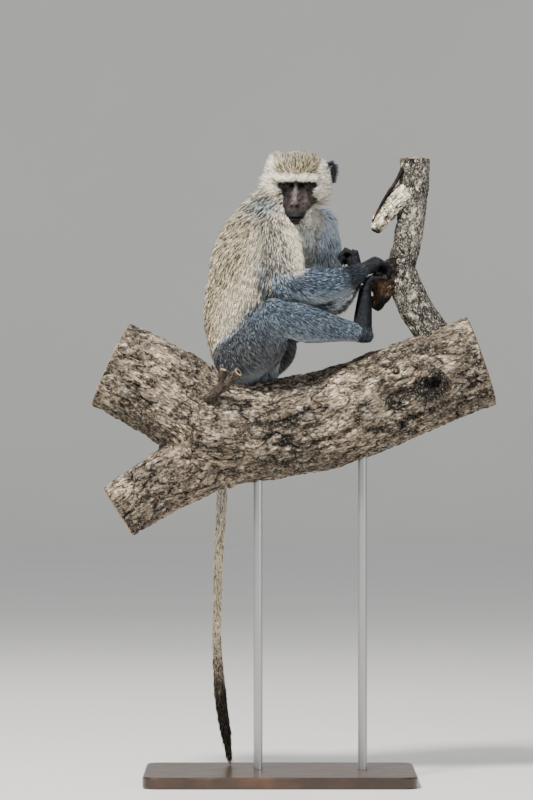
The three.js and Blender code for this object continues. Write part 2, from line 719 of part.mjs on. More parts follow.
function headBlank(grow = 0) {
  const enlarge = V(grow, grow, grow);
  const whiskers = V(2, COAT.ruff, COAT.ruff);
  const brow = [
    { at: V(22, -31, -2), wide: 7, deep: 7 },
    { at: V(37, -16, 3), wide: 7, deep: 6 },
    { at: V(40, 0, 3), wide: 6.5, deep: 5.5 },
    { at: V(37, 16, 3), wide: 7, deep: 6 },
    { at: V(22, 31, -2), wide: 7, deep: 7 },
  ];
  const bridge = [
    { at: V(36, 0, 0), wide: 4.5, deep: 5 },
    { at: V(48, 0, -16), wide: 5, deep: 5 },
    { at: V(60, 0, -32), wide: 6, deep: 5 },
  ];
  return join(
    ellipsoid(BRAINCASE.at, BRAINCASE.half.clone().add(enlarge), HEAD_FRAME, [16, 9]),
    ellipsoid(RUFF.at, RUFF.half.clone().sub(whiskers).add(enlarge), HEAD_FRAME, [16, 10]),
    headSweep(MUZZLE, { sides: 14, round: [0, 0.7], grow }),
    headSweep(brow, { sides: 6, round: [0.3, 0.3], dome: DOME_SMALL, grow }),
    headSweep(bridge, { sides: 6, round: [0, 0.7], dome: DOME_SMALL, grow }),
    mouthLine(MOUTH_UP + 3.6, 4, 2.2, -1.6, grow),
    mouthLine(MOUTH_UP - 3.4, 4, 2.2, -2.6, grow),
  );
}

function nostril(sign) {
  const stations = [{ at: V(68, sign * 5, -36), half: 1.3 }, { at: V(60, sign * 3, -37), half: 1.6 }];
  return headSweep(stations, { sides: 5, round: [0, 0] });
}

// An ear: a shallow cup that opens forwards and outwards.
function ear(sign, grow = 0) {
  const tilt = new THREE.Matrix4().makeRotationZ(sign * 44 * DEG);
  const frame = HEAD_FRAME.clone()
    .multiply(new THREE.Matrix4().makeTranslation(EAR.back, sign * EAR.out, EAR.up))
    .multiply(tilt);
  const shell = ellipsoid(V(0, sign * 3, 0), V(5 + grow, EAR.wide + grow, EAR.tall + grow), frame, [10, 6]);
  if (grow > 0) return shell;
  return cut(shell, ellipsoid(V(5, sign * 4, 1), V(EAR.cup, EAR.wide - 3, EAR.tall - 3.5), frame, [8, 6]));
}

// Where the whiskers, the brow band and the chin's beard root, with the way out of the skin and their lie.
function headRoots() {
  const place = (at, out, lie, size) => ({
    root: onHead(at.x, at.y, at.z), out: turned(out, HEAD_FRAME), lie: turned(lie, HEAD_FRAME), size,
  });
  const core = RUFF.half.clone().sub(V(2, COAT.ruff, COAT.ruff));
  const roots = [];
  for (const sign of [1, -1]) {
    CHEEK_ROWS.forEach(({ back, from, to, count }, row) => {
      for (let i = 0; i < count; i++) {
        const round = (from + ((to - from) * (i + (row % 2) * 0.4)) / (count - 0.6)) * DEG;
        const away = back * DEG;
        const aside = Math.sin(away);
        const unit = V(Math.cos(away), sign * aside * Math.sin(round), aside * Math.cos(round));
        const at = unit.clone().multiply(core).add(RUFF.at);
        const out = unit.clone().divide(core).normalize();
        const lie = V(-0.75, 0.95 * unit.y, 0.8 * unit.z - 0.25);
        lie.addScaledVector(out, -lie.dot(out)).normalize();
        roots.push(place(at, out, lie, LOCK.cheek));
      }
    });
  }
  for (const { up, back, count, half } of BROW_ROWS) {
    for (let i = 0; i < count; i++) {
      const share = (2 * i) / (count - 1) - 1;
      const at = V(back - 15 * share * share, half * share, up - 6 * share * share);
      const out = V(0.85, 0.5 * share, 0.5).normalize();
      roots.push(place(at, out, V(-0.55, 0.55 * share, 0.85).normalize(), LOCK.brow));
    }
  }
  for (const { forward, up, count, half } of CHIN_ROWS) {
    for (let i = 0; i < count; i++) {
      const share = (2 * i) / (count - 1) - 1;
      const at = V(forward - 6 * share * share, half * share, up + 5 * share * share);
      const out = V(0.2, 0.3 * share, -1).normalize();
      const lie = V(-0.55, 0.3 * share, -0.8).normalize();
      roots.push(place(at, out, lie, LOCK.chin));
    }
  }
  return roots;
}

function buildHead() {
  addNode(headGroup, 'eye_left', MATERIAL.eye, (grow) => eyeball(1, grow));
  addNode(headGroup, 'eye_right', MATERIAL.eye, (grow) => eyeball(-1, grow));
  const sockets = [1, -1].map((sign) => {
    return ellipsoid(V(40, sign * EYE.out, EYE.up), V(9, 9.5, 5.5), HEAD_FRAME, [8, 6]);
  });
  const shaped = cut(headBlank(), ...sockets, mouthLine(MOUTH_UP, 5, 0.7), nostril(1), nostril(-1));
  const lids = [1, -1].flatMap((sign) => [lid(sign, 30), lid(sign, -24)]);
  const roots = headRoots();
  addNode(headGroup, 'head', MATERIAL.paleFur, headBlank, {
    fixed: join(shaped, ...lids),
    coat: (grow) => locks(roots, LOCK.cheek, grow),
  });
}

const NECK = [
  { at: JOINT.neck.clone().add(V(-12, 0, -36)), half: 50 - COAT.neck },
  { at: JOINT.neck, half: 48 - COAT.neck },
  { at: JOINT.head.clone().add(V(-4, 14, -10)), half: 36 - COAT.neck },
];
function neckRoots() {
  const profile = new Profile(NECK);
  return [1.4, 0.8].flatMap((u, row) => [...Array(4).keys()].map((i) => {
    const s = profile.section(u, V(0, -1, 0));
    const angle = (i - 1.75 + row * 0.5) * 40 * DEG;
    const out = s.deep.clone().multiplyScalar(-Math.cos(angle)).addScaledVector(s.across, Math.sin(angle));
    return { root: s.at.clone().addScaledVector(out, s.wide), out, lie: s.along.clone().negate() };
  }));
}

function buildNeck() {
  const options = { sides: 18, steps: 2, round: [0.3, 0], front: V(0, -1, 0) };
  const roots = neckRoots();
  addNode(monkey, 'neck', MATERIAL.backFur, (grow) => sweep(NECK, { ...options, grow }), {
    coat: (grow) => locks(roots, LOCK.neck, grow),
  });
  addNode(headGroup, 'ear_left', MATERIAL.darkSkin, (grow) => ear(1, grow));
  addNode(headGroup, 'ear_right', MATERIAL.darkSkin, (grow) => ear(-1, grow));
}

buildHead();
buildPerch();
buildStand();
buildTorso();
buildLimbs();
buildNeck();
buildTail();
finishNodes();

export default part;
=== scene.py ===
"""The looks of the vervet monkey on its cut limb: one skin, a coat of solid tufts, eyes, nails, bark and the stand.

Shapes are worked out in millimetres in the frame's own axes, as distance fields that are turned into meshes,
and are scaled to metres when a mesh is made. The named sizes repeat those of the solids.
"""
import itertools
import math

import bpy
import numpy as np
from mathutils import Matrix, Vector


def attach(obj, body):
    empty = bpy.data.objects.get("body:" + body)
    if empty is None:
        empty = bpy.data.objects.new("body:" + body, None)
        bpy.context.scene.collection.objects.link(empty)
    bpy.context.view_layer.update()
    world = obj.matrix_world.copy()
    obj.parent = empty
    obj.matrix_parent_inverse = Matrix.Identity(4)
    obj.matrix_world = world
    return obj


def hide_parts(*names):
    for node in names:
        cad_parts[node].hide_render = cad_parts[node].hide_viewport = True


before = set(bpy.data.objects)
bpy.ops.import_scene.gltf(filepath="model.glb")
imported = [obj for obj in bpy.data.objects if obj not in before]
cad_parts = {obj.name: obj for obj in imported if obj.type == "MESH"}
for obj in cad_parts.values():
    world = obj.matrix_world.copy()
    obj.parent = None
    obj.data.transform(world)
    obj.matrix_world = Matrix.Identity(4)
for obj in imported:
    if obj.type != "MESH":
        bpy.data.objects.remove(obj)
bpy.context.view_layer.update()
MM = 0.001
FAR = 1e3  # the distance of empty space before any shape is melted in, in mm
SEAM = 5.0  # how softly the hair of one bone, or the grain of one log, passes into the next, in mm

# ------------------------------------------------------------------ the animal's named sizes, in mm

JOINT = {
    "neck": (12, 10, 896), "head": (31, -8, 936),
    "shoulder_right": (-6, -42, 858), "elbow_right": (10, -74, 769), "wrist_right": (124, -39, 789),
    "shoulder_left": (62, 38, 868), "elbow_left": (66, 70, 748), "wrist_left": (119, 2, 786),
    "hip_right": (-66, -20, 652), "knee_right": (-9, -98, 722), "heel_right": (130.5, -30, 689),
    "hip_left": (-42, 56, 652), "knee_left": (2, 124, 722), "heel_left": (127, 36, 690),
}
JOINT = {name: np.array(place, float) for name, place in JOINT.items()}
SIDES = ("right", "left")
for side in SIDES:
    JOINT[f"ankle_{side}"] = JOINT[f"heel_{side}"] + (-10, 0, 6)

# The trunk from the seat to the base of the neck, out to the tips of the coat: middle, half width, half depth,
# and how far the front is turned from +X towards -Y, in degrees.
TORSO = [
    ((-42, 16, 612), 36, 34, 14), ((-45, 16, 634), 48, 44, 15), ((-54, 16, 666), 56, 54, 18),
    ((-62, 12, 716), 58, 58, 25), ((-53, 6, 768), 59, 65, 33), ((-36, 1, 817), 65, 70, 40),
    ((-11, 0, 856), 64, 66, 45), ((9, 1, 884), 53, 55, 45),
]
TAIL = [
    ((-78, 46, 650), 15), ((-92, 72, 640), 13.5), ((-96, 97, 606), 12), ((-94, 102, 545), 11),
    ((-91, 102, 452), 10.4), ((-96, 101, 343), 9.2), ((-99, 100, 219), 8.6), ((-93, 99, 126), 9.4),
    ((-84, 98, 62), 7.6), ((-79, 97, 28), 1.4),
]
COAT_DEPTH = {"torso": 12.5, "neck": 11, "upper_arm": 8, "forearm": 5, "thigh": 7.5, "shin": 5, "tail": 4}

HEAD_TURN, HEAD_NOD = math.radians(9), math.radians(10)
EYE = {"out": 14.5, "forward": 30.0, "up": -8.0, "radius": 9.6}
EAR = {"back": -13, "out": 46, "up": 6, "wide": 12, "tall": 17, "turn": math.radians(44)}
MOUTH_UP = -54

LIMB = [
    ((-118, 5, 546), 84), ((-85, 5, 543), 82), ((-28, 5, 545), 78), ((31, 5, 553), 76), ((93, 5, 568), 76),
    ((186, 5, 603), 74), ((263, 5, 635), 72), ((312, 5, 652), 71),
]
FORK_UPPER = [((-80, 6, 548), 74), ((-150, 8, 586), 73), ((-205, 10, 618), 71), ((-262, 12, 645), 70)]
FORK_LOWER = [((-80, 2, 520), 60), ((-130, -2, 492), 52), ((-185, -6, 460), 47), ((-250, -10, 419), 44)]
UPRIGHT = [
    ((282, 6, 640), 30), ((237, 5, 695), 27), ((211, 4, 732), 26), ((195, 3, 769), 25), ((189, 3, 800), 22),
    ((197, 3, 832), 22), ((204, 3, 880), 22), ((208, 2, 925), 23), ((209, 2, 966), 23),
]
SNAG = [((192, 3, 806), 19), ((177, 0, 784), 17.5), ((162, -2, 760), 15), ((150, -3, 738), 9)]
SNAG_SPUR = [((184, 0, 800), 15), ((163, -7, 790), 12.5), ((149, -10, 779), 9)]
SNAG_SPLINTER = [((160, -6, 776), 9.5), ((143, -7, 771), 8), ((129, -7, 777), 5)]
STUB = [((206, 2, 918), 20), ((182, -4, 900), 17.5), ((161, -8, 876), 14), ((148, -10, 856), 8.5)]
FLAP = [((194, -4, 956), 8, 4), ((180, -9, 930), 9, 3), ((162, -13, 903), 7, 2.5), ((143, -15, 868), 4, 1.6)]
KNOT = [((232, -50, 612), 25), ((234, -76, 614), 23), ((235, -90, 615), 21)]
TWIG = [((-110, -58, 588), 11), ((-102, -74, 600), 9), ((-84, -82, 616), 7.5), ((-64, -96, 634), 7.5)]
TWIG_FORK = [((-88, -82, 614), 5.5), ((-90, -88, 626), 5), ((-87, -92, 638), 5.5)]

# ------------------------------------------------------------------ small mathematics


def unit(v):
    v = np.asarray(v, float)
    return v / np.maximum(np.linalg.norm(v, axis=-1, keepdims=True), 1e-9)


def smoothstep(low, high, value):
    t = np.clip((value - low) / (high - low), 0, 1)
    return t * t * (3 - 2 * t)


def mix(a, b, t):
    """From a to b by t; a list of shares mixes colours or points row by row."""
    t = np.asarray(t)[..., None] if np.ndim(t) else t
    return np.asarray(a) * (1 - t) + np.asarray(b) * t


def hashed(cell, seed):
    """A number from 0 to 1 for each whole-numbered cell."""
    x, y, z = np.moveaxis(cell, -1, 0)
    h = x * 374761393 + y * 668265263 + z * 2147483647 + seed * 974634777
    h = (h ^ (h >> 13)) * 1274126177
    h = h ^ (h >> 16)
    return (h & 0xFFFFFF) / float(0xFFFFFF)


TILT = np.array([[0.36, 0.48, -0.8], [-0.8, 0.6, 0.0], [0.48, 0.64, 0.6]])


def noise(points, seed=0):
    """Smooth value noise from -1 to 1, about one unit to a bump, on a lattice that lies aslant."""
    points = points @ TILT
    base = np.floor(points).astype(np.int64)
    t = points - base
    t = t * t * (3 - 2 * t)
    total = 0
    for corner in np.ndindex(2, 2, 2):
        weight = np.prod(np.where(corner, t, 1 - t), axis=-1)
        total = total + weight * hashed(base + corner, seed)
    return 2 * total - 1


def nearness(gaps):
    """Shares that sum to 1 in each row, the largest for the smallest gap."""
    weight = np.exp(-(gaps - gaps.min(1, keepdims=True)) / SEAM)
    return weight / weight.sum(1, keepdims=True)


def ring_quads(first, last, spokes):
    """Quads between each ring of points and the next, from the first ring to the last."""
    i, j = np.meshgrid(np.arange(first, last) * spokes, np.arange(spokes), indexing="ij")
    k = (j + 1) % spokes
    return np.stack([i + j, i + spokes + j, i + spokes + k, i + k], -1).reshape(-1, 4)


def curve(stations, count):
    """Stations, as rows of numbers, resampled along a Catmull-Rom spline."""
    rows = np.array(stations, float)
    padded = np.vstack([2 * rows[0] - rows[1], rows, 2 * rows[-1] - rows[-2]])
    out = []
    for u in np.linspace(0, len(rows) - 1, count):
        i = min(int(u), len(rows) - 2)
        t = u - i
        p0, p1, p2, p3 = padded[i:i + 4]
        out.append(0.5 * (2 * p1 + (p2 - p0) * t + (2 * p0 - 5 * p1 + 4 * p2 - p3) * t**2
                          + (3 * p1 - p0 - 3 * p2 + p3) * t**3))
    return np.array(out)


def turn_z(angle):
    c, s = math.cos(angle), math.sin(angle)
    return np.array([[c, -s, 0], [s, c, 0], [0, 0, 1]])


def turn_y(angle):
    c, s = math.cos(angle), math.sin(angle)
    return np.array([[c, 0, s], [0, 1, 0], [-s, 0, c]])


HEAD_AXES = turn_z(math.radians(-90) - HEAD_TURN) @ turn_y(HEAD_NOD)


def on_head(point):
    """From the head's own frame, x forward, y to its left and z up, to the model's."""
    return JOINT["head"] + np.asarray(point, float) @ HEAD_AXES.T


def in_head(points):
    return (points - JOINT["head"]) @ HEAD_AXES

# ------------------------------------------------------------------ shapes as distance fields


def elliptic(x, y, z, a, b, c):
    """The distance, near enough, from an ellipsoid with half axes a, b and c."""
    k0 = np.sqrt((x / a) ** 2 + (y / b) ** 2 + (z / c) ** 2)
    k1 = np.sqrt((x / a**2) ** 2 + (y / b**2) ** 2 + (z / c**2) ** 2)
    return k0 * (k0 - 1) / np.maximum(k1, 1e-6)


class Tube:
    """A bent tube of elliptic section: rows of x, y, z, half width, half depth; front is where its depth points."""

    def __init__(self, rows, front=(0, 0, 1), ends=(1.0, 1.0), grow=0.0):
        rows = np.array(rows, float)
        self.at, self.wide, self.deep = rows[:, :3], rows[:, 3] + grow, rows[:, 4] + grow
        self.front = np.broadcast_to(np.array(front, float), self.at.shape)
        self.ends = ends
        margin = np.maximum(self.wide, self.deep)[:, None]
        self.low, self.high = (self.at - margin).min(0), (self.at + margin).max(0)
        steps = np.linalg.norm(np.diff(self.at, axis=0), axis=1)
        self.run = np.concatenate([[0], np.cumsum(steps)])

    def segments(self):
        for i in range(len(self.at) - 1):
            a, b = self.at[i], self.at[i + 1]
            along = unit(b - a)
            across = unit(np.cross(along, self.front[i]))
            yield i, a, b, along, across, np.cross(across, along)

    def distance(self, points):
        best = np.full(points.shape[:-1], FAR)
        frames = list(self.segments())
        for i, a, b, along, across, deep in frames:
            length = np.linalg.norm(b - a)
            v = points - a
            s = v @ along
            t = np.clip(s / length, 0, 1)
            w = self.wide[i] + (self.wide[i + 1] - self.wide[i]) * t
            d = self.deep[i] + (self.deep[i + 1] - self.deep[i]) * t
            over = s - t * length
            best = np.minimum(best, elliptic(v @ across, v @ deep, over, w, d, np.minimum(w, d)))
        for (i, a, b, along, across, deep), station, sign, cap in (
                (frames[0], 0, -1, self.ends[0]), (frames[-1], len(self.at) - 1, 1, self.ends[1])):
            v = points - self.at[station]
            w, d = self.wide[station], self.deep[station]
            over = sign * (v @ along)
            beyond = (over > 0) & (np.linalg.norm(v, axis=-1) < 2.5 * max(w, d))
            dome = elliptic(v @ across, v @ deep, over, w, d, cap * min(w, d))
            best = np.where(beyond, dome, best)
        return best

    def place(self, points):
        """For each point: its place along the tube in mm, its angle round it and its distance to the tube."""
        best, gap = np.full(len(points), 1e9), np.zeros(len(points))
        run, angle, lie = np.zeros(len(points)), np.zeros(len(points)), np.zeros((len(points), 3))
        for i, a, b, along, across, deep in self.segments():
            length = np.linalg.norm(b - a)
            v = points - a
            t = np.clip(v @ along / length, 0, 1)
            away = v - t[:, None] * length * along
            far = np.linalg.norm(away, axis=1)
            near = far < best
            best[near] = far[near]
            gap[near] = (far - self.wide[i] - (self.wide[i + 1] - self.wide[i]) * t)[near]
            run[near] = (self.run[i] + t * length)[near]
            angle[near] = np.arctan2(away @ across, away @ deep)[near]
            lie[near] = along
        return run, angle, gap, lie


class Ball:
    """An ellipsoid with its own axes, as the columns of a matrix."""

    def __init__(self, at, half, axes=np.eye(3)):
        self.at, self.half, self.axes = np.array(at, float), np.array(half, float), axes
        margin = np.max(self.half)
        self.low, self.high = self.at - margin, self.at + margin

    def distance(self, points):
        v = (points - self.at) @ self.axes
        return elliptic(v[..., 0], v[..., 1], v[..., 2], *self.half)


class Field:
    """A signed distance on a grid. Shapes melt into it or are carved out of it over a blend width."""

    def __init__(self, low, high, step):
        self.low, self.step = np.array(low, float), step
        self.count = np.ceil((np.array(high) - low) / step).astype(int) + 1
        self.value = np.full(self.count, FAR, np.float32)

    def window(self, low, high):
        a = np.clip(np.floor((low - self.low) / self.step).astype(int), 0, self.count - 1)
        b = np.clip(np.ceil((high - self.low) / self.step).astype(int) + 1, a + 1, self.count)
        axes = [self.low[i] + self.step * np.arange(a[i], b[i]) for i in range(3)]
        return tuple(slice(p, q) for p, q in zip(a, b)), np.stack(np.meshgrid(*axes, indexing="ij"), -1)

    def melt(self, shape, blend=1.0, sign=1):
        reach = blend + 4 * self.step
        part, points = self.window(shape.low - reach, shape.high + reach)
        a, b = self.value[part], sign * shape.distance(points)
        h = np.clip(0.5 + 0.5 * sign * (a - b) / blend, 0, 1)
        self.value[part] = a * (1 - h) + b * h - sign * blend * h * (1 - h)

    def carve(self, shape, blend=1.0):
        self.melt(shape, blend, -1)

    def surface(self):
        """The zero surface as vertices in mm and quads, one vertex to each cell that it crosses."""
        f, inside = self.value, self.value < 0
        corners = list(np.ndindex(2, 2, 2))
        size = self.count - 1
        filled = sum(inside[x:x + size[0], y:y + size[1], z:z + size[2]].astype(np.int8) for x, y, z in corners)
        mask = (filled > 0) & (filled < 8)
        cells = np.argwhere(mask)
        index = np.full(size, -1)
        index[mask] = np.arange(len(cells))
        total, hits = np.zeros((len(cells), 3)), np.zeros(len(cells))
        for a in corners:
            for axis in range(3):
                if a[axis]:
                    continue
                b = np.array(a)
                b[axis] = 1
                fa = f[tuple((cells + a).T)]
                fb = f[tuple((cells + b).T)]
                cross = (fa < 0) != (fb < 0)
                t = fa[cross] / (fa[cross] - fb[cross])
                total[cross] += np.array(a) + t[:, None] * (b - a)
                hits[cross] += 1
        verts = self.low + self.step * (cells + total / hits[:, None])
        quads = []
        for axis in range(3):
            u, v = (axis + 1) % 3, (axis + 2) % 3
            near = np.take(inside, range(self.count[axis] - 1), axis)
            far = np.take(inside, range(1, self.count[axis]), axis)
            edge = np.argwhere(near != far)
            edge = edge[(edge[:, u] > 0) & (edge[:, v] > 0) & (edge[:, u] < size[u]) & (edge[:, v] < size[v])]
            step_u, step_v = np.eye(3, dtype=int)[u], np.eye(3, dtype=int)[v]
            ring = np.stack([index[tuple((edge - du * step_u - dv * step_v).T)]
                             for du, dv in ((1, 1), (0, 1), (0, 0), (1, 0))], 1)
            flip = ~near[tuple(edge.T)]
            ring[flip] = ring[flip][:, ::-1]
            quads.append(ring)
        return verts, np.vstack(quads)


def normals_of(verts, quads):
    a, b, c, d = (verts[quads[:, i]] for i in range(4))
    face = np.cross(c - a, d - b)
    out = np.zeros_like(verts)
    for i in range(4):
        np.add.at(out, quads[:, i], face)
    return unit(out)

# ------------------------------------------------------------------ meshes


def make_mesh(name, verts_mm, faces, colors=None, smooth=True):
    """A mesh object from vertices in mm and faces of equal length, with a colour to each vertex."""
    mesh = bpy.data.meshes.new(name)
    sides = faces.shape[1]
    mesh.vertices.add(len(verts_mm))
    mesh.vertices.foreach_set("co", (verts_mm * MM).astype(np.float32).ravel())
    mesh.loops.add(faces.size)
    mesh.loops.foreach_set("vertex_index", faces.astype(np.int32).ravel())
    mesh.polygons.add(len(faces))
    mesh.polygons.foreach_set("loop_start", np.arange(0, faces.size, sides, dtype=np.int32))
    mesh.update(calc_edges=True)
    if smooth:
        mesh.shade_smooth()
    if colors is not None:
        attribute = mesh.color_attributes.new("tone", "FLOAT_COLOR", "POINT")
        rgba = np.ones((len(verts_mm), 4), np.float32)
        rgba[:, :3] = colors
        attribute.data.foreach_set("color", rgba.ravel())
    obj = bpy.data.objects.new(name, mesh)
    bpy.context.scene.collection.objects.link(obj)
    return obj


def add_vectors(obj, name, vectors):
    """A vector to each vertex, for the material to read."""
    layer = obj.data.attributes.new(name, "FLOAT_VECTOR", "POINT")
    layer.data.foreach_set("vector", vectors.astype(np.float32).ravel())


def add_piece(obj, material, nodes, slot):
    """Gives a piece its material, hangs it under the root and hides the parts that it stands for."""
    obj.data.materials.append(material)
    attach(obj, "root")
    if nodes:
        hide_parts(*nodes)

# ------------------------------------------------------------------ the flesh


def between(p, q, share, shift=(0, 0, 0)):
    return p + (q - p) * share + np.array(shift, float)


def row(at, wide, deep):
    return [*at, wide, deep]


def torso_tube():
    rows = curve([[*at, wide, deep, turn] for at, wide, deep, turn in TORSO], 24)
    turn = np.radians(rows[:, 5])
    front = np.stack([np.cos(turn), -np.sin(turn), 0 * turn], 1)
    return Tube(rows[:, :5], front, (0.3, 0.5), -COAT_DEPTH["torso"])


def neck_tube():
    rows = [row(JOINT["neck"] + (-12, 0, -36), 50, 50), row(JOINT["neck"], 48, 48),
            row(JOINT["head"] + (-4, 14, -10), 36, 36)]
    return Tube(curve(rows, 8), (0, -1, 0), (0.3, 0.3), -COAT_DEPTH["neck"])


def tail_tube():
    rows = curve([[*at, half, half] for at, half in TAIL], 60)
    return Tube(rows, (0, 1, 0.2), (0.5, 0.6), -COAT_DEPTH["tail"])


def tail_skin_tube():
    tube = tail_tube()
    thinnest = 2.6
    tube.wide, tube.deep = np.maximum(tube.wide, thinnest), np.maximum(tube.deep, thinnest)
    return tube


# Each limb: its joints, where its depth points, its ends' caps, the coat's depth at its far end as a share of that
# at its near end, its number of rows, and its stations: share of the way, shift, half width and half depth.
NO_SHIFT = (0, 0, 0)
LIMBS = {
    "upper_arm": ("shoulder", "elbow", (1, 0, 0.1), (0.9, 0.8), 1, 10, [
        (0, NO_SHIFT, 26, 29), (0.35, (3, 0, 0), 27, 32), (0.7, (4, 0, 0), 26, 31), (1, NO_SHIFT, 23, 26)]),
    "forearm": ("elbow", "wrist", (0, 0, 1), (0.8, 0.3), 0.2, 12, [
        (0.02, NO_SHIFT, 21, 23), (0.27, (0, 0, -5), 22, 26), (0.55, (0, 0, -7), 18, 21),
        (0.85, (0, 0, -4), 14, 16.5), (1, (0, 0, -1), 12, 13)]),
    "thigh": ("hip", "knee", (0.75, 0, -0.66), (0.8, 0.9), 1, 12, [
        (0, NO_SHIFT, 40, 42), (0.4, (10, 0, -8), 40, 43), (0.75, (6, 0, -3), 32, 34), (1, NO_SHIFT, 25, 26)]),
    "shin": ("knee", "ankle", (0, 0, 1), (0.8, 0.5), 0.25, 14, [
        (0.03, (0, 0, -3), 25, 25), (0.25, (0, 0, -3), 27, 30), (0.45, (0, 0, -3), 24, 27),
        (0.75, (0, 0, -1), 17, 19), (1, NO_SHIFT, 13.5, 14)]),
}


def limb(kind, side):
    start, end, front, caps, thinning, count, stations = LIMBS[kind]
    a, b = JOINT[f"{start}_{side}"], JOINT[f"{end}_{side}"]
    rows = [row(between(a, b, share, shift), wide, deep) for share, shift, wide, deep in stations]
    tube = Tube(curve(rows, count), front, caps)
    depth = COAT_DEPTH[kind] * np.linspace(1, thinning, count)
    tube.wide, tube.deep = tube.wide - depth, tube.deep - depth
    return tube


# A paw's palm or sole, its four long digits, its thumb or big toe (base, bones, bends, lean and half width) and
# its sections (middle, half width and half depth), all in its own frame.
PAW_SIZES = {
    "hand": {"joint": "wrist", "palm": 35, "bones": (15, 11, 8), "spread": (-10.5, -3.5, 3.5, 10.5),
             "scale": (0.84, 1, 0.98, 0.88), "lean": 0.6, "half": 4.1, "up": 0,
             "thumb": ((9, 9, -3), (15, 10, 8), (12, 25, 45), 48, 4.2),
             "rows": [((0, 0, 0), 10, 9), ((10, 0, 0.5), 10.5, 8.6), ((20, 0, 0), 13, 8), ((34, 0, 0), 13.6, 6.2)]},
    "foot": {"joint": "heel", "palm": 76, "bones": (14, 10, 8), "spread": (-11, -3.8, 3.4, 10.4),
             "scale": (0.86, 1, 0.96, 0.88), "lean": 0.5, "half": 4.4, "up": -1,
             "thumb": ((38, 9, -2), (18, 13, 9), (14, 34, 60), 44, 5.2),
             "rows": [((0, 0, 0), 10.8, 10.8), ((20, 0, 1), 11.2, 11.8), ((48, 0, 0), 12.6, 9.8),
                      ((76, 0, -1), 14, 6.8)]},
}
# Which way each paw points, which way its back faces, on which side its thumb is, and how much its digits bend at
# each joint, in degrees, by turns.
POSE = {
    "hand_right": {"along": (0.76, 0.42, 0.50), "dorsal": (-0.42, -0.45, 0.79), "side": 1,
                   "bends": ((38, 84, 128), (44, 92, 136))},
    "hand_left": {"along": (-0.12, 0.18, 0.97), "dorsal": (0.95, -0.15, 0.2), "side": -1,
                  "bends": ((60, 126, 188), (66, 132, 196))},
    "foot_right": {"along": (0.03, 0.04, 1), "dorsal": (-1, 0, 0.04), "side": 1,
                   "bends": ((8, 46, 92), (12, 52, 100))},
    "foot_left": {"along": (0.04, -0.08, 1), "dorsal": (-1, 0.05, 0.04), "side": -1,
                  "bends": ((30, 72, 105), (34, 78, 112))},
}


class Paw:
    """A hand or a foot: its palm or sole and its digits, in a frame with x along it, y to the thumb and z dorsal."""

    def __init__(self, name):
        self.kind, side = name.split("_")
        pose, self.size = POSE[name], PAW_SIZES[self.kind]
        self.origin = JOINT[f"{self.size['joint']}_{side}"]
        x, dorsal = unit(pose["along"]), np.array(pose["dorsal"], float)
        y = unit(np.cross(dorsal, x)) * pose["side"]
        z = unit(dorsal - (dorsal @ x) * x)
        self.axes = np.stack([x, y, z], 1)
        self.digits = []
        size = self.size
        for i, (across, scale) in enumerate(zip(size["spread"], size["scale"])):
            lengths = [length * scale for length in size["bones"]]
            base = (size["palm"] - 4, across, size["up"])
            self.add_digit(base, lengths, pose["bends"][i % 2], across * size["lean"], size["half"])
        self.add_digit(*size["thumb"])

    def world(self, point):
        return self.origin + np.asarray(point, float) @ self.axes.T

    def add_digit(self, base, lengths, bends, lean, half):
        at = np.array(base, float)
        points = [at]
        lean = math.radians(lean)
        for length, bend in zip(lengths, np.radians(bends)):
            step = np.array([math.cos(bend) * math.cos(lean), math.cos(bend) * math.sin(lean), -math.sin(bend)])
            at = at + step * length
            points.append(at)
        self.digits.append((np.array([self.world(p) for p in points]), half))

    def shapes(self):
        """The tubes and balls of flesh, each with its blend width."""
        z = self.axes[:, 2]
        rows = [row(self.world(at), wide, deep) for at, wide, deep in self.size["rows"]]
        yield Tube(curve(rows, 10), z, (0.8, 0.5)), 1.0
        if self.kind == "hand":
            yield Ball(self.world((21, 0, -6)), (13, 10.5, 7), self.axes), 4
        for points, half in self.digits:
            halves = half * np.array([1.05, 0.98, 0.9, 0.78])
            rows = [row(p, h, h * 0.94) for p, h in zip(points, halves)]
            yield Tube(rows, z, (1, 0.9)), 2.2
            for joint, h in zip(points[1:-1], halves[1:-1]):
                yield Ball(joint, (h * 1.07,) * 3), 1.6
            yield Ball(points[-1] + 0.15 * (points[-2] - points[-1]), (halves[-1] * 1.05,) * 3), 1.0

    def nail_places(self):
        """Each nail's middle, the way its digit points there, and the way its back faces."""
        for points, half in self.digits:
            along = unit(points[-1] - points[-2])
            across = unit(np.cross(points[-2] - points[-3], along) + 1e-3 * self.axes[:, 1])
            back = unit(np.cross(along, across))
            if back @ self.axes[:, 2] < 0 and abs(back @ self.axes[:, 2]) > 0.7:
                back = -back
            outward = unit(points[-2] - 0.5 * (points[-1] + points[0]))
            if back @ outward < 0:
                back = -back
            yield points[-1], along, back, half * 0.78


PAWS = {name: Paw(name) for name in POSE}


def body_shapes():
    """The flesh from the neck down to the ankles and wrists, without the paws."""
    yield torso_tube(), 1.0
    yield neck_tube(), 18
    top, arm = np.array(TORSO[-1][0], float), JOINT["shoulder_left"]
    yield Tube([row(top + (6, 12, -20), 30, 26), row(between(top, arm, 0.55, (0, 0, -10)), 26, 22),
                row(arm + (-4, 0, -6), 20, 19)], (0, 0, 1), (0.8, 0.8), -3), 16
    yield Tube([row(top + (8, 16, -52), 30, 26), row(arm + (-8, -4, -38), 18, 17)], (0, 0, 1), (0.8, 0.8), -3), 16
    for side in SIDES:
        for kind, blend in (("thigh", 16), ("shin", 9), ("upper_arm", 13), ("forearm", 8)):
            yield limb(kind, side), blend
        yield Ball(JOINT[f"knee_{side}"] + (-3, 0, 2), (17, 17, 18)), 8
        yield Ball(JOINT[f"elbow_{side}"] + (-4, 0, -5), (11, 10, 10)), 7
    yield tail_skin_tube(), 10


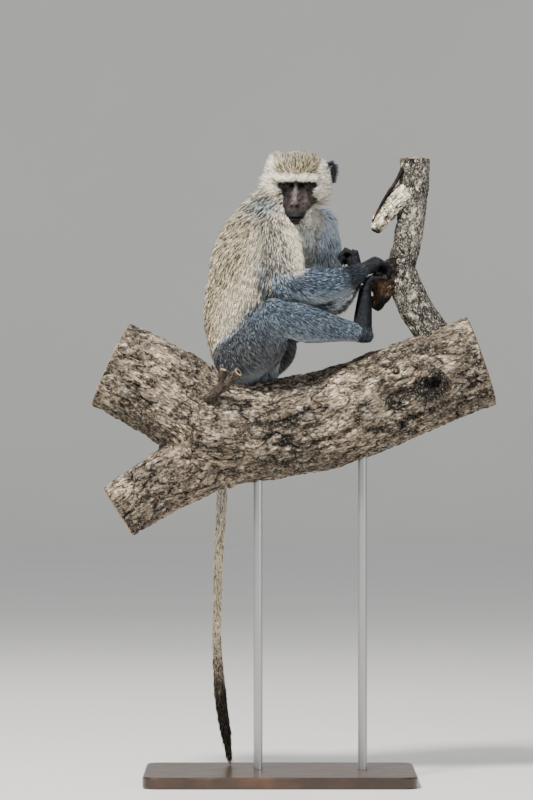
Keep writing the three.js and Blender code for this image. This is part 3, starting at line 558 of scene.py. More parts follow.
def head_ball(at, half, lean=0.0):
    return Ball(on_head(at), half, HEAD_AXES @ turn_y(math.radians(lean)))


def head_tube(rows, front=(0, 0, 1), ends=(0.6, 0.6)):
    return Tube([row(on_head(at), wide, deep) for at, wide, deep in rows], HEAD_AXES @ front, ends)


def head_shapes():
    """The skull's flesh, cheeks, muzzle, brow, nose and lips, each with its blend width."""
    yield head_ball((-4, 0, 6), (38, 39, 29)), 1.0
    yield head_ball((3, 0, -17), (23, 39, 27)), 10
    for sign in (-1, 1):
        yield head_ball((11, sign * 32, -9), (16, 9, 13)), 9
    yield head_tube([((10, 0, -22), 27, 24), ((36, 0, -28), 20.5, 19), ((50, 0, -41), 16.8, 15.4),
                     ((55, 0, -50), 14.2, 12.2)], ends=(0.5, 0.75)), 8
    brow = [(22, 29, -5, 4.0, 4.0), (31, 23.5, 0.5, 5.6, 5.0), (38.5, 12.5, 2.6, 5.4, 4.8), (40, 4.5, 0.8, 4.6, 4.4)]
    brow = [((x, -y, z), a, b) for x, y, z, a, b in brow] + [((x, y, z), a, b) for x, y, z, a, b in reversed(brow)]
    yield head_tube(brow), 5
    for sign in (-1, 1):
        yield head_ball((25, sign * 26, -16), (11, 7.5, 6.5)), 7
        yield head_ball((44, sign * 15, -37), (11, 7, 10)), 6
        yield head_ball((57.5, sign * 9.5, -46), (8.5, 8, 7)), 5
    yield head_tube([((37, 0, -1), 4.0, 4.4), ((45, 0, -12), 3.7, 4.4), ((53, 0, -22), 4.1, 4.6),
                     ((60, 0, -30.5), 5.2, 4.6)], front=(1, 0, 0.6)), 4.5
    yield head_ball((62.6, 0, -34), (4.4, 6.2, 4.4)), 3
    for sign in (-1, 1):
        yield head_ball((61.8, sign * 5.4, -35.6), (4.4, 3.3, 3.8)), 1.8
    yield head_ball((53, 0, -61), (10, 9.5, 6)), 5
    yield lip(MOUTH_UP + 2.7, 66.8, 3.2, 2.7), 1.8
    yield lip(MOUTH_UP - 2.8, 65.0, 3.0, 2.6), 1.8


def head_hollows():
    """What is pressed into the head: sockets, the hollows beside the nose, temples, nostrils, philtrum and mouth."""
    for sign in (-1, 1):
        yield head_ball((45, sign * (EYE["out"] + 0.5), EYE["up"] - 0.5), (13, 8.6, 6.2)), 5
        yield head_ball((54.5, sign * 13.5, -21), (6, 5, 10), 32), 7
        yield head_ball((30, sign * 33, -30), (12, 8, 9)), 8
        nostril = [((69.5, sign * 3.0, -40.2), 1.0, 1.2), ((66.8, sign * 4.6, -36.6), 1.3, 1.7),
                   ((63.5, sign * 7.0, -33.6), 0.8, 0.9)]
        yield head_tube(nostril, (1, 0, 0)), 0.9
        yield head_tube([((67.2, sign * 4.0, -37.4), 1.2, 1.3), ((60, sign * 2.6, -34.5), 1.0, 1.2)]), 0.8
    yield head_tube([((69.6, 0, -40), 0.9, 1.0), ((70.6, 0, -50.5), 0.8, 0.9)], (1, 0, 0)), 1.6
    yield lip(MOUTH_UP, 68.6, 2.8, 0.55), 1.0


def lip(up, forward, deep, tall):
    """One lip, or the slit between them: a bow round the front of the muzzle."""
    rows = []
    for share in np.linspace(-1, 1, 13):
        at = (forward - 17.5 * share**2, 16.2 * share, up - 1.2 * abs(share) ** 3)
        rows.append(row(on_head(at), deep, tall * (1 - 0.25 * share**2)))
    return Tube(rows, HEAD_AXES @ (0, 0, 1), (0.8, 0.8))


def ear_shell(sign):
    """An ear's outer ball and the ball that hollows its cup."""
    lean = HEAD_AXES @ turn_z(sign * EAR["turn"])
    back, out, up, wide, tall = (EAR[key] for key in ("back", "out", "up", "wide", "tall"))
    return (Ball(on_head((back, sign * out, up)), (4, wide, tall), lean),
            Ball(on_head((back + 6, sign * (out + 3), up + 1)), (6.8, wide - 4, tall - 4), lean))


HEAD_SPLIT = 6.0  # in front of this the head's skin is fine, and behind it, under the fur, coarse
BODY_STEP, TAIL_STEP, PAW_STEP, SKULL_STEP, FACE_STEP = 3.1, 2.4, 0.95, 1.9, 0.85  # each skin field's cells, in mm
SKULL_SHAPES = 4  # the first of the head's shapes, which reach behind the split


class Behind:
    """The half of space behind the split of the head."""

    def __init__(self, low, high):
        self.low, self.high = low, high

    def distance(self, points):
        return in_head(points)[..., 0] - HEAD_SPLIT


def head_field(step, *reach):
    """An empty field over a box of the head's frame: its reach along x, y and z."""
    corners = np.array([on_head(corner) for corner in itertools.product(*reach)])
    return Field(corners.min(0), corners.max(0), step)


def build_skull_field():
    """The back of the head, coarse, a little inside the fine front where they overlap, with its ears."""
    field = head_field(SKULL_STEP, (-48, 34), (-62, 62), (-60, 44))
    for shape, blend in list(head_shapes())[:SKULL_SHAPES]:
        field.melt(shape, blend)
    for sign in (-1, 1):
        shell, cup = ear_shell(sign)
        field.melt(shell, 3)
        field.carve(cup, 2)
    return field


def build_head_field():
    """The fine front of the head, with its sockets, lids, lips and nose."""
    field = head_field(FACE_STEP, (HEAD_SPLIT - 2, 76), (-46, 46), (-74, 40))
    for shape, blend in head_shapes():
        field.melt(shape, blend)
    for shape, blend in head_hollows():
        field.carve(shape, blend)
    for sign in (-1, 1):
        out, up = sign * EYE["out"], EYE["up"]
        eye = on_head((EYE["forward"], out, up))
        field.melt(Ball(eye, (EYE["radius"] + 1.6,) * 3), 2.4)
        for reach, rise in ((0.0, 0.4), (-4.0, 1.0), (4.0, 1.3)):
            opening = head_ball((EYE["forward"] + 10.5, out + reach, up + rise), (5, 4.3, 3.1 - 0.22 * abs(reach)))
            field.carve(opening, 0.9)
        field.carve(Ball(eye, (EYE["radius"] + 0.12,) * 3), 0.5)
        pouch = [((EYE["forward"] + 9.4 - 0.10 * y * y, out + y, up - 6.6 + 0.035 * y * y), 1.1, 0.9)
                 for y in (-6, -3, 0, 3, 6)]
        field.melt(head_tube(pouch), 1.6)
    field.carve(Behind(field.low, field.low + field.step * field.count), 0.5)
    return field


def wrinkle_face(verts, normals):
    """Fine folds of the bare face: across the bridge, round the eyes and down the upper lip."""
    local = in_head(verts)
    bare = smoothstep(2, -2, face_edge(local)) * smoothstep(20, 34, local[:, 0])
    lip_zone = smoothstep(-38, -44, local[:, 2])
    across = np.abs(noise(local / [5, 7, 1.7] + 2 * noise(local / 8, 81)[:, None], 82))
    down = np.abs(noise(local / [5, 1.8, 8] + 2 * noise(local / 8, 83)[:, None], 84))
    fold = smoothstep(0.22, 0.0, across * (1 - lip_zone) + down * lip_zone)
    grain = noise(local / 1.9, 85)
    return verts + normals * (bare * (0.10 * grain - 0.34 * fold))[:, None]


def build_skin_parts():
    """Vertices and quads of the body, the tail, the front and back of the head and each paw, in mm."""
    body = Field((-135, -150, 590), (160, 172, 925), BODY_STEP)
    tail = Field((-118, 30, 12), (-60, 122, 668), TAIL_STEP)
    for shape, blend in body_shapes():
        body.melt(shape, blend)
    tail.melt(tail_skin_tube(), 1.0)
    verts, quads = build_head_field().surface()
    parts = {"body": body.surface(), "tail": tail.surface(),
             "head": (wrinkle_face(verts, normals_of(verts, quads)), quads), "skull": build_skull_field().surface()}
    for name, paw in PAWS.items():
        shapes = list(paw.shapes())
        low = np.min([shape.low for shape, _ in shapes], axis=0) - 2
        high = np.max([shape.high for shape, _ in shapes], axis=0) + 2
        field = Field(low, high, PAW_STEP)
        for shape, blend in shapes:
            field.melt(shape, blend)
        parts[name] = field.surface()
    return parts

# ------------------------------------------------------------------ where each root grows and how its hair lies

BONES = {"torso": torso_tube(), "neck": neck_tube(), "tail": tail_tube()}
BONES.update({f"{kind}_{side}": limb(kind, side) for side in SIDES for kind in LIMBS})
BONE_NAMES = list(BONES)

# Hair by bone: length and width in mm, rise at the root in degrees, tufts to a square mm, share of the lie that
# follows the bone (negative runs back along it) and share that hangs straight down.
HAIR = {
    "torso": (21, 1.45, 46, 0.53, -1.0, 0.25), "neck": (19, 1.45, 46, 0.53, -1.0, 0.2),
    "upper_arm": (15, 1.35, 40, 0.41, 1.0, 0.1), "forearm": (9.5, 1.1, 36, 0.80, 1.0, 0.12),
    "thigh": (11.5, 1.25, 38, 0.60, 0.5, 0.8), "shin": (9.5, 1.15, 36, 0.66, 0.8, 0.4),
    "tail": (10.5, 1.1, 29, 0.55, 1.0, 0.0),
}
DOWN = np.array([0, 0, -1.0])


def srgb(*values):
    v = np.array(values, float)
    return np.where(v <= 0.04045, v / 12.92, ((v + 0.055) / 1.055) ** 2.4)


CREAM, CREAM_SHADE, RUFF_SHADE = srgb(0.97, 0.93, 0.84), srgb(0.66, 0.60, 0.51), srgb(0.36, 0.345, 0.325)
STRAW, OLIVE, SOOT = srgb(0.91, 0.86, 0.745), srgb(0.76, 0.71, 0.57), srgb(0.13, 0.12, 0.10)
BROW_WHITE = srgb(1.0, 0.975, 0.905)
# The last of these greys is painted shade on the thigh by the seat.
ASH, INK, SEAT_SHADE_GREY = srgb(0.85, 0.82, 0.755), srgb(0.16, 0.155, 0.15), srgb(0.52, 0.51, 0.50)
# These slate greys of the limbs carry a painted blue cast of sky shade over the hair's own grey.
SLATE, DEEP_SLATE = srgb(0.60, 0.66, 0.72), srgb(0.18, 0.21, 0.255)
# Painted shade: the far arm's pale hair and the white under the chin take a blue cast of shade.
PALE_SLATE, LEFT_ARM_BLUE_SHADE, CHIN_SHADOW_WHITE = srgb(0.78, 0.78, 0.76), srgb(0.90, 0.94, 0.99), srgb(0.94, 0.96, 0.98)
TAIL_LIGHT, TAIL_DARK = srgb(0.99, 0.93, 0.82), srgb(0.44, 0.38, 0.31)
TAIL_TIP_LIGHT, TAIL_TIP_DARK = srgb(0.22, 0.19, 0.17), srgb(0.06, 0.055, 0.05)
# The face's second tone is painted light on muzzle and cheek, the third a painted highlight on the bridge.
FACE_SKIN, FACE_LIT_BROWN, BRIDGE_HIGHLIGHT = srgb(0.115, 0.105, 0.105), srgb(0.41, 0.35, 0.335), srgb(0.44, 0.42, 0.41)
PAW_SKIN, PAW_GLOW = srgb(0.08, 0.08, 0.095), srgb(0.165, 0.18, 0.21)


def bone_kind(name):
    return name.replace("_right", "").replace("_left", "")


def body_tones(name, run, angle, points, normals):
    """The light and dark colour of a bone's hair at each point and the share of dark hair there."""
    kind = bone_kind(name)
    share, turn = run / BONES[name].run[-1], np.abs(np.degrees(angle))
    x, y, z = points.T
    right = smoothstep(20, 0, y)
    if kind in ("torso", "neck"):
        high = smoothstep(700, 830, z)
        edge = 122 - 66 * high + 9 * noise(points / 22, 3)
        back = smoothstep(edge - 18, edge + 18, turn)
        lap = smoothstep(672, 640, z) * smoothstep(100, 60, turn) * (kind == "torso")
        dark_share = 0.05 + back * (0.33 + 0.04 * high) + 0.2 * lap
        light = mix(mix(CREAM, STRAW, back), PALE_SLATE, lap)
        dark = mix(mix(CREAM_SHADE, SOOT, back), SLATE, lap)
        beside_thigh = smoothstep(-9, 9, 0.82 * (x + 46) - 0.57 * (z - 751) + 6 * noise(points / 14, 11))
        beside_thigh = beside_thigh * smoothstep(768, 738, z) * smoothstep(10, -10, y)
        # Painted shade: the head's shadow on the chest under the chin, in bluish white and slate.
        chin_shadow = np.exp(-(((x - 42) / 26) ** 2) - ((z - 850) / 34) ** 2) * right
        # Painted shade under the cheek on the side of the neck, in slate.
        cheek_shadow = np.exp(-(((x + 16) / 24) ** 2) - ((z - 891) / 18) ** 2) * right
        # Painted shadow of the upper arm on the flank along its back edge, in slate.
        arm_shadow = np.exp(-(((x + 25 + 0.14 * (z - 788)) / 9) ** 2)) * right
        arm_shadow = arm_shadow * smoothstep(738, 755, z) * smoothstep(842, 795, z)
        # Beside the thigh the torso's hair takes the thigh's slate; the other patches are painted shade.
        grey = np.max([beside_thigh, 0.85 * chin_shadow, 0.9 * cheek_shadow, 0.85 * arm_shadow], axis=0)
        light = mix(light, mix(SLATE, CHIN_SHADOW_WHITE, chin_shadow), grey)
        return light, mix(dark, DEEP_SLATE, grey), dark_share * (1 - grey) + (0.46 - 0.3 * chin_shadow) * grey
    if kind == "upper_arm":
        low = smoothstep(0.72, 1.0, share + 0.05 * noise(points / 12, 5))
        if name == "upper_arm_left":
            # The front of the far arm is pale hair with a painted blue cast of shade; its back keeps its own grey.
            back = smoothstep(-0.2, 0.5, normals[:, 1])
            light = mix(mix(LEFT_ARM_BLUE_SHADE, ASH * 0.8, back), SLATE, low)
            return light, mix(DEEP_SLATE, INK, back), 0.16 + 0.24 * np.maximum(low, back)
        outer = smoothstep(35, 75, turn + 8 * noise(points / 15, 4))
        rear = smoothstep(112, 150, turn)
        light = mix(mix(mix(CREAM, ASH, outer), PALE_SLATE * 0.7, rear), SLATE, low)
        dark = mix(mix(CREAM_SHADE, INK, outer), DEEP_SLATE, low)
        return light, dark, 0.05 + (0.38 * outer + 0.2 * rear) * (1 - low) + 0.36 * low
    if kind == "forearm":
        under = smoothstep(0.45, 0.95, -normals[:, 2])
        cuff = smoothstep(0.63, 0.82, share + 0.04 * noise(points / 8, 7))
        # Painted shade: the forearm's slate is darkened and made bluer.
        light, dark = mix(SLATE * [0.86, 0.92, 0.98], PALE_SLATE, under), mix(DEEP_SLATE, SLATE, under)
        return mix(light, PAW_GLOW, 0.9 * cuff), mix(dark, PAW_SKIN, 0.9 * cuff), 0.6 - 0.35 * under
    if kind in ("thigh", "shin"):
        under = 0.55 * smoothstep(0.55, 1.0, -normals[:, 2])
        # Painted shade: the thigh's slate is darker than the shin's, and low down by the seat it turns a darker grey
        # with more dark hair.
        seat = 0.85 * smoothstep(736, 664, z) * (kind == "thigh")
        blue = SLATE * ([0.78, 0.80, 0.81] if kind == "thigh" else [0.95, 0.97, 0.99])
        light = mix(mix(blue, PALE_SLATE, under), SEAT_SHADE_GREY * 0.9, seat)
        return light, mix(DEEP_SLATE, SLATE, under), 0.51 + 0.13 * seat - 0.2 * under
    tip = smoothstep(0.64, 0.86, share + 0.03 * noise(points / 9, 6))
    root = 1 - smoothstep(0.0, 0.14, share)
    # The upper tail turns towards slate, partly its own grey top and partly the painted shadow of the limb.
    upper = 0.45 * smoothstep(0.52, 0.36, share) * (1 - root)
    light = mix(mix(mix(TAIL_LIGHT, CREAM, 0.5 * root), SLATE, upper), TAIL_TIP_LIGHT, tip)
    return light, mix(TAIL_DARK, TAIL_TIP_DARK, tip), np.full(len(points), 0.24)


def survey_body(points, normals):
    """Bone, lie, hair sizes, tones and unwrap of each point on the body's or the tail's skin."""
    found = {key: [] for key in ("gap", "unwrap", "lie", "size", "light", "dark", "share")}
    for name in BONE_NAMES:
        kind = bone_kind(name)
        length, width, rise, density, along, hang = HAIR[kind]
        run, angle, gap, lie = BONES[name].place(points)
        share = run / BONES[name].run[-1]
        under = smoothstep(0.2, 0.85, -normals[:, 2]) * (kind == "forearm")
        taper = np.ones(len(points))
        if kind in ("forearm", "shin"):
            taper = 1 - 0.42 * smoothstep(0.5, 1.0, share)
        elif kind == "neck":
            taper = 1 - 0.45 * smoothstep(0.55, 0.9, share) * smoothstep(-10, 10, points[:, 1])
        elif kind == "tail":
            taper = (1 + 0.55 * smoothstep(0.66, 0.86, share)) * (1 - 0.3 * smoothstep(0.95, 1.0, share))
        fringe = 1 + 1.2 * under * smoothstep(1.1, 0.6, share)
        size = np.stack([length * taper * fringe, width * (0.4 + 0.6 * taper), rise * fringe**0.5,
                         density + 0 * share], 1)
        light, dark, dark_share = body_tones(name, run, angle, points, normals)
        values = {"gap": gap, "unwrap": np.stack([angle / (2 * math.pi) + 0.5, share], 1), "size": size,
                  "lie": lie * along + DOWN * hang - np.outer(under, (0.2, 0, 0.5)),
                  "light": light, "dark": dark, "share": dark_share[:, None]}
        for key, rows in found.items():
            rows.append(values[key])
    gaps = np.stack(found.pop("gap"), 1)
    bone, weight = gaps.argmin(1), nearness(gaps)[:, :, None]
    unwrap = np.stack(found.pop("unwrap"), 1)[np.arange(len(points)), bone]
    survey = {key: sum(weight[:, i] * values for i, values in enumerate(rows)) for key, rows in found.items()}
    survey["share"] = survey["share"][:, 0]
    return {"bone": bone, "unwrap": unwrap, **survey}


# The bare face: half its width at each height of the head's frame, and the middle that its hair radiates from.
FACE_UP = np.array([-70, -66, -61, -54, -44, -38, -31, -24, -16, -9, -4, 1])
FACE_HALF = np.array([0.1, 5, 9.5, 14.5, 20, 29, 29, 24, 27, 33, 30, 12])
FACE_CENTRE = np.array([45, 0, -18.0])


def face_edge(local):
    """How far outside the bare face a point of the head is, in mm; negative on the face."""
    half = np.interp(local[:, 2], FACE_UP, FACE_HALF)
    side = np.abs(local[:, 1]) - half
    over = local[:, 2] + 0.4 - 3.0 * np.exp(-((local[:, 1] / 4) ** 2))
    ragged = 1.3 * noise(local / 4, 8) + 1.3 * noise(local / 1.8, 18)
    return np.where(local[:, 0] > 5, np.maximum(side * 0.9, over), 20) + ragged


def survey_head(points, normals):
    """The same for the head, from its own frame."""
    local, facing = in_head(points), normals @ HEAD_AXES
    x, y, z = local.T
    aside = np.abs(y)
    out = face_edge(local)
    radial = unit(local - FACE_CENTRE)
    swept = unit(np.stack([0 * x - 1, 0.12 * np.sign(y), -0.55 - 0.5 * smoothstep(10, -30, x)], 1))
    sideways = smoothstep(14, 30, aside)
    behind = smoothstep(14 - 16 * sideways, -12 - 10 * sideways, x)
    lie = unit(mix(radial * [0.3, 1.3, 1.0], swept, behind))
    cheek = smoothstep(8, 0, z) * smoothstep(-22, -4, x)
    throat = smoothstep(-42, -56, z)
    hanging = unit(np.stack([0 * x - 0.5, 0.2 * np.sign(y), 0 * x - 1], 1))
    lie = mix(lie, hanging, 0.8 * throat * smoothstep(24, 10, aside))
    ear = np.max([smoothstep(3, 1, ear_shell(sign)[0].distance(points)) for sign in (-1, 1)], axis=0)
    bare = np.maximum(smoothstep(0.4, -3.5, out) ** 0.5, ear * smoothstep(0.2, 0.6, facing[:, 0]))
    near = smoothstep(0, 15, out)
    crown = 1 - cheek
    corner = (smoothstep(14, 34, -y) + 0.1 * smoothstep(14, 34, y)) * smoothstep(-16, 3, z) * smoothstep(-24, -6, x)
    low = smoothstep(-16, -34, z)
    left = smoothstep(-14, -34, y) * (0.3 + 0.7 * smoothstep(4, -14, z))
    ruff = 3 + 17 * left + 8 * low + 10 * smoothstep(-34, -54, z)
    nape = smoothstep(8, -14, z) * smoothstep(2, -16, x)
    length = (crown * (7.5 + 4.5 * near + 8 * corner + 14 * nape) + cheek * (7 + ruff * near)) * (1 - ear) + 7 * ear
    width = 0.74 + 0.38 * near
    toward = np.degrees(np.arcsin(np.clip((lie * facing).sum(1), 0.5, 0.96)))
    outward = np.maximum(cheek, 0.5 * corner)
    rise = (50 + 14 * corner - 16 * nape) * (1 - outward) + toward * outward
    density = (1.35 - 0.45 * near) * (0.78 + 0.22 * smoothstep(-20, 4, x))
    band = smoothstep(9, 1, z + 2.5 * noise(local / 2.5, 9) + 2.5 * noise(local / 7, 10)) * smoothstep(2, 12, x)
    band = np.maximum(band, 0.85 * smoothstep(22, 34, aside) * smoothstep(34, 12, z) * smoothstep(-16, 0, x))
    pale = np.maximum(band, cheek)
    fade = smoothstep(18, -14, x) * (1 - band)
    # The grey fringe round the bare face is partly its own and partly painted shade; it is weaker on the head's left,
    # painted light on its lit side.
    edge = smoothstep(7, 0, out) * smoothstep(0, -6, z) * (1 - 0.7 * smoothstep(6, 22, y))
    light = mix(mix(mix(OLIVE, CREAM, pale), BROW_WHITE, band), mix(ASH, SLATE, 0.35), 0.8 * fade)
    light = mix(mix(light, PALE_SLATE * 0.6, 0.6 * edge), SLATE * 0.55, ear)
    dark = mix(mix(SOOT, RUFF_SHADE, pale * (1 - 0.8 * fade)), DEEP_SLATE * 0.6, ear)
    # The dark hair at the ruff's sides is thinned on the head's left, painted light on its lit side.
    side = smoothstep(20, 36, aside) * smoothstep(24, 0, x)
    share = (0.46 - 0.36 * pale + 0.22 * fade * pale + 0.14 * side * pale * (1 - 0.5 * smoothstep(0, 20, y))
             + 0.34 * edge + 0.1 * ear)
    unwrap = np.stack([np.arctan2(y, x) / (2 * math.pi) + 0.5,
                       np.arccos(np.clip(unit(local)[:, 2], -1, 1)) / math.pi], 1)
    return {"bone": np.zeros(len(points), int), "lie": lie @ HEAD_AXES.T, "light": light, "dark": dark,
            "share": share, "size": np.stack([length, width, rise, density * (1 - bare)], 1), "unwrap": unwrap,
            "bare": bare}


def survey_paw(paw, points, normals):
    """The same for a hand or a foot: fine hair on its back that thins out on the digits."""
    local = (points - paw.origin) @ paw.axes
    reach = paw.size["palm"]
    dorsal = smoothstep(-0.55, 0.1, normals @ paw.axes[:, 2])
    wrist = smoothstep(16, -4, local[:, 0])
    back = np.maximum(dorsal * smoothstep(reach + 12, reach - 8, local[:, 0]), wrist)
    count = len(points)
    length = 4.6 + 3.6 * wrist
    shade = 0.02 + 0.1 * wrist
    unwrap = np.stack([np.arctan2(local[:, 1], local[:, 2]) / (2 * math.pi) + 0.5,
                       np.clip((local[:, 0] + 20) / (reach + 70), 0, 1)], 1)
    size = np.stack([length, 0.85 + 0.3 * wrist, 26 + 0 * wrist, 0.95 * back], 1)
    return {"bone": np.zeros(count, int), "lie": np.broadcast_to(paw.axes[:, 0], (count, 3)), "size": size,
            "light": mix(PAW_GLOW, SLATE, shade), "dark": mix(PAW_SKIN, DEEP_SLATE, shade),
            "share": np.full(count, 0.6), "unwrap": unwrap, "bare": 1 - back}

# ------------------------------------------------------------------ tufts

# A tuft's rings: how far along it each ring and its tip lie, each ring's width, and each length's share of the rise.
SHORT_TUFT = {"at": (0.0, 0.40, 1.0), "wide": (1.0,), "rise": (1.0, 0.30)}
LONG_TUFT = {"at": (0.0, 0.33, 0.68, 1.0), "wide": (1.0, 0.72), "rise": (1.0, 0.50, 0.12)}
TUFT_PATCH = 0.0015  # half the width of a tuft's patch of the unwrap
TUFT_SINK = 0.7  # how deep under the skin a tuft starts, in mm
STIFF_FROM, STIFF_TO = 50, 66  # between these rises, in degrees, a tuft goes from bent down to straight


def sample_roots(verts, quads, normals, survey, rng):
    """Roots spread over the skin by each place's density, with the survey's values carried to them."""
    corners = verts[quads]
    area = 0.5 * np.linalg.norm(np.cross(corners[:, 2] - corners[:, 0], corners[:, 3] - corners[:, 1]), axis=1)
    density = survey["size"][quads, 3].mean(1)
    number = np.floor(area * density + rng.random(len(quads))).astype(int)
    pick = np.repeat(np.arange(len(quads)), number)
    u, v = rng.random(len(pick)), rng.random(len(pick))
    weight = np.stack([(1 - u) * (1 - v), u * (1 - v), u * v, (1 - u) * v], 1)
    corner = quads[pick]

    def carry(values):
        if values.ndim == 1:
            return (values[corner] * weight).sum(1)
        return (values[corner] * weight[:, :, None]).sum(1)

    roots = {key: carry(survey[key]) for key in ("lie", "size", "light", "dark", "share")}
    first = corner[np.arange(len(pick)), weight.argmax(1)]
    roots["bone"], roots["unwrap"] = survey["bone"][first], survey["unwrap"][first]
    roots["at"], roots["normal"] = carry(verts), unit(carry(normals))
    return roots


def select(roots, keep):
    return {key: values[keep] for key, values in roots.items()}


def build_tufts(roots, tuft, rng):
    """Closed spindles that rise from under the skin and bend down to lie along it."""
    count, levels = len(roots["at"]), len(tuft["wide"])
    normal, at = roots["normal"], roots["at"]
    lie = unit(roots["lie"] - (roots["lie"] * normal).sum(1, keepdims=True) * normal)
    across = np.cross(normal, lie)
    wave = np.radians(10 * noise(at / 13, 21) + 6 * noise(at / 5, 22) + rng.normal(0, 5, count))
    lie = lie * np.cos(wave)[:, None] + across * np.sin(wave)[:, None]
    across = np.cross(normal, lie)
    length = roots["size"][:, 0] * (0.72 + 0.52 * rng.random(count)) * (1 + 0.10 * noise(at / 9, 23))
    half = 0.5 * roots["size"][:, 1] * (0.75 + 0.5 * rng.random(count))
    rise = np.radians(roots["size"][:, 2] * (0.8 + 0.4 * rng.random(count)))
    curl = rng.normal(0, 0.10, count)
    stiff = smoothstep(STIFF_FROM, STIFF_TO, roots["size"][:, 2])

    point = at - TUFT_SINK * normal
    verts = np.zeros((count, 3 * levels + 2, 3))
    verts[:, 0] = point
    for level in range(levels + 1):
        angle = rise * (tuft["rise"][level] * (1 - stiff) + (1 - 0.1 * level) * stiff)
        heading = lie * np.cos(angle)[:, None] + normal * np.sin(angle)[:, None]
        heading = unit(heading + across * (curl * tuft["at"][level])[:, None])
        point = point + heading * (length * (tuft["at"][level + 1] - tuft["at"][level]))[:, None]
        if level == levels:
            verts[:, -1] = point
            continue
        up = np.cross(across, heading)
        up *= np.sign((up * normal).sum(1, keepdims=True) + 1e-9)
        w = (half * tuft["wide"][level])[:, None]
        verts[:, 3 * level + 1] = point - across * w
        verts[:, 3 * level + 2] = point + across * w
        verts[:, 3 * level + 3] = point + up * w * 0.8
    last = 3 * levels + 1
    faces = []
    for a, b in ((1, 2), (2, 3), (3, 1)):
        faces.append((0, b, a))
        for k in range(0, 3 * (levels - 1), 3):
            faces += [(a + k, b + k, b + k + 3), (a + k, b + k + 3, a + k + 3)]
        faces.append((a + last - 4, b + last - 4, last))
    index = (np.arange(count) * (last + 1))[:, None, None] + np.array(faces)

    fleck = rng.random(count) + 0.16 * noise(at / 2.4, 31) + 0.10 * noise(at / 10, 32)
    is_dark = (fleck < roots["share"]).astype(float)
    shade = mix(roots["light"], roots["dark"], is_dark * (0.72 + 0.28 * rng.random(count)))
    shade = shade * (0.84 + 0.30 * rng.random(count))[:, None]
    along = np.concatenate([[0.0], np.repeat(tuft["at"][1:-1], 3), [1.0]])
    gain = np.interp(along, [0, 0.4, 1], [0.42, 0.92, 1.10])
    colors = shade[:, None, :] * gain[None, :, None]

    base = np.clip(roots["unwrap"], 2 * TUFT_PATCH, 1 - 2 * TUFT_PATCH)
    spin = np.concatenate([[0.0], np.tile([-1.0, 1.0, 0.0], levels), [0.0]]) * TUFT_PATCH
    uv = base[:, None, :] + np.stack([spin, (2 * along - 1) * TUFT_PATCH], 1)[None]
    return verts.reshape(-1, 3), index.reshape(-1, 3), colors.reshape(-1, 3), uv.reshape(-1, 2)


def add_coat(name, roots, tuft, material, slot, rng):
    """One piece of the coat, with its unwrap."""
    verts, faces, colors, uv = build_tufts(roots, tuft, rng)
    obj = make_mesh(name, verts, faces, colors, smooth=True)
    layer = obj.data.uv_layers.new(name="OFBake")
    layer.data.foreach_set("uv", uv[faces.ravel()].astype(np.float32).ravel())
    add_piece(obj, material, (), slot)

# ------------------------------------------------------------------ materials


class Nodes:
    """A material's node tree, with short calls to add nodes and join them."""

    def __init__(self, name):
        self.material = bpy.data.materials.new(name)
        self.material.use_nodes = True
        self.tree = self.material.node_tree
        self.shader = self.tree.nodes["Principled BSDF"]

    def add(self, kind, **values):
        node = self.tree.nodes.new(kind)
        for key, value in values.items():
            if key in node.inputs:
                node.inputs[key].default_value = value
            else:
                setattr(node, key, value)
        return node

    def join(self, output, target):
        self.tree.links.new(output, target)

    def vector(self, name):
        return self.add("ShaderNodeAttribute", attribute_name=name).outputs["Vector"]

    def tone(self, factor):
        """The painted tone times a factor."""
        return self.times(self.add("ShaderNodeAttribute", attribute_name="tone").outputs["Color"], factor)

    def finish(self, color, rough=None, **values):
        """Joins the colour and roughness to the shader, sets its other values and gives the material."""
        self.join(color, self.shader.inputs["Base Color"])
        if rough is not None:
            self.join(rough, self.shader.inputs["Roughness"])
        for key, value in values.items():
            self.shader.inputs[key.replace("_", " ")].default_value = value
        return self.material

    def texture(self, kind, output, vector=None, **values):
        """A texture in the object's own space, or over the vector given."""
        node = self.add(kind, **values)
        if vector is None:
            vector = self.add("ShaderNodeTexCoord").outputs["Object"]
        self.join(vector, node.inputs["Vector"])
        return node.outputs[output]

    def noise(self, scale, detail=4.0, vector=None):
        return self.texture("ShaderNodeTexNoise", "Fac", vector, Scale=scale, Detail=detail)

    def ramp(self, value, low, high, low_at=0.3, high_at=0.7):
        node = self.add("ShaderNodeMapRange", **{"From Min": low_at, "From Max": high_at, "To Min": low,
                                                 "To Max": high})
        self.join(value, node.inputs["Value"])
        return node.outputs["Result"]

    def times(self, color, factor):
        node = self.add("ShaderNodeVectorMath", operation="SCALE")
        self.join(color, node.inputs[0])
        self.join(factor, node.inputs["Scale"])
        return node.outputs["Vector"]

    def feed(self, value, socket):
        """Joins an output to a socket, or sets the socket to a number or a colour."""
        if isinstance(value, bpy.types.NodeSocket):
            self.join(value, socket)
        else:
            socket.default_value = value if np.isscalar(value) else (*value, 1)

    def blend(self, a, b, factor):
        node = self.add("ShaderNodeMix", data_type="RGBA")
        for key, value in (("Factor", factor), ("A", a), ("B", b)):
            self.feed(value, node.inputs[key])
        return node.outputs["Result"]

    def math(self, operation, *values):
        node = self.add("ShaderNodeMath", operation=operation)
        for socket, value in zip(node.inputs, values):
            self.feed(value, socket)
        return node.outputs["Value"]

    def fade(self, a, b, factor):
        """From one number to another by a factor."""
        return self.math("MULTIPLY_ADD", self.math("SUBTRACT", b, a), factor, a)

    def bump(self, height, strength, distance):
        node = self.add("ShaderNodeBump", Strength=strength, Distance=distance)
        self.join(height, node.inputs["Height"])
        self.join(node.outputs["Normal"], self.shader.inputs["Normal"])


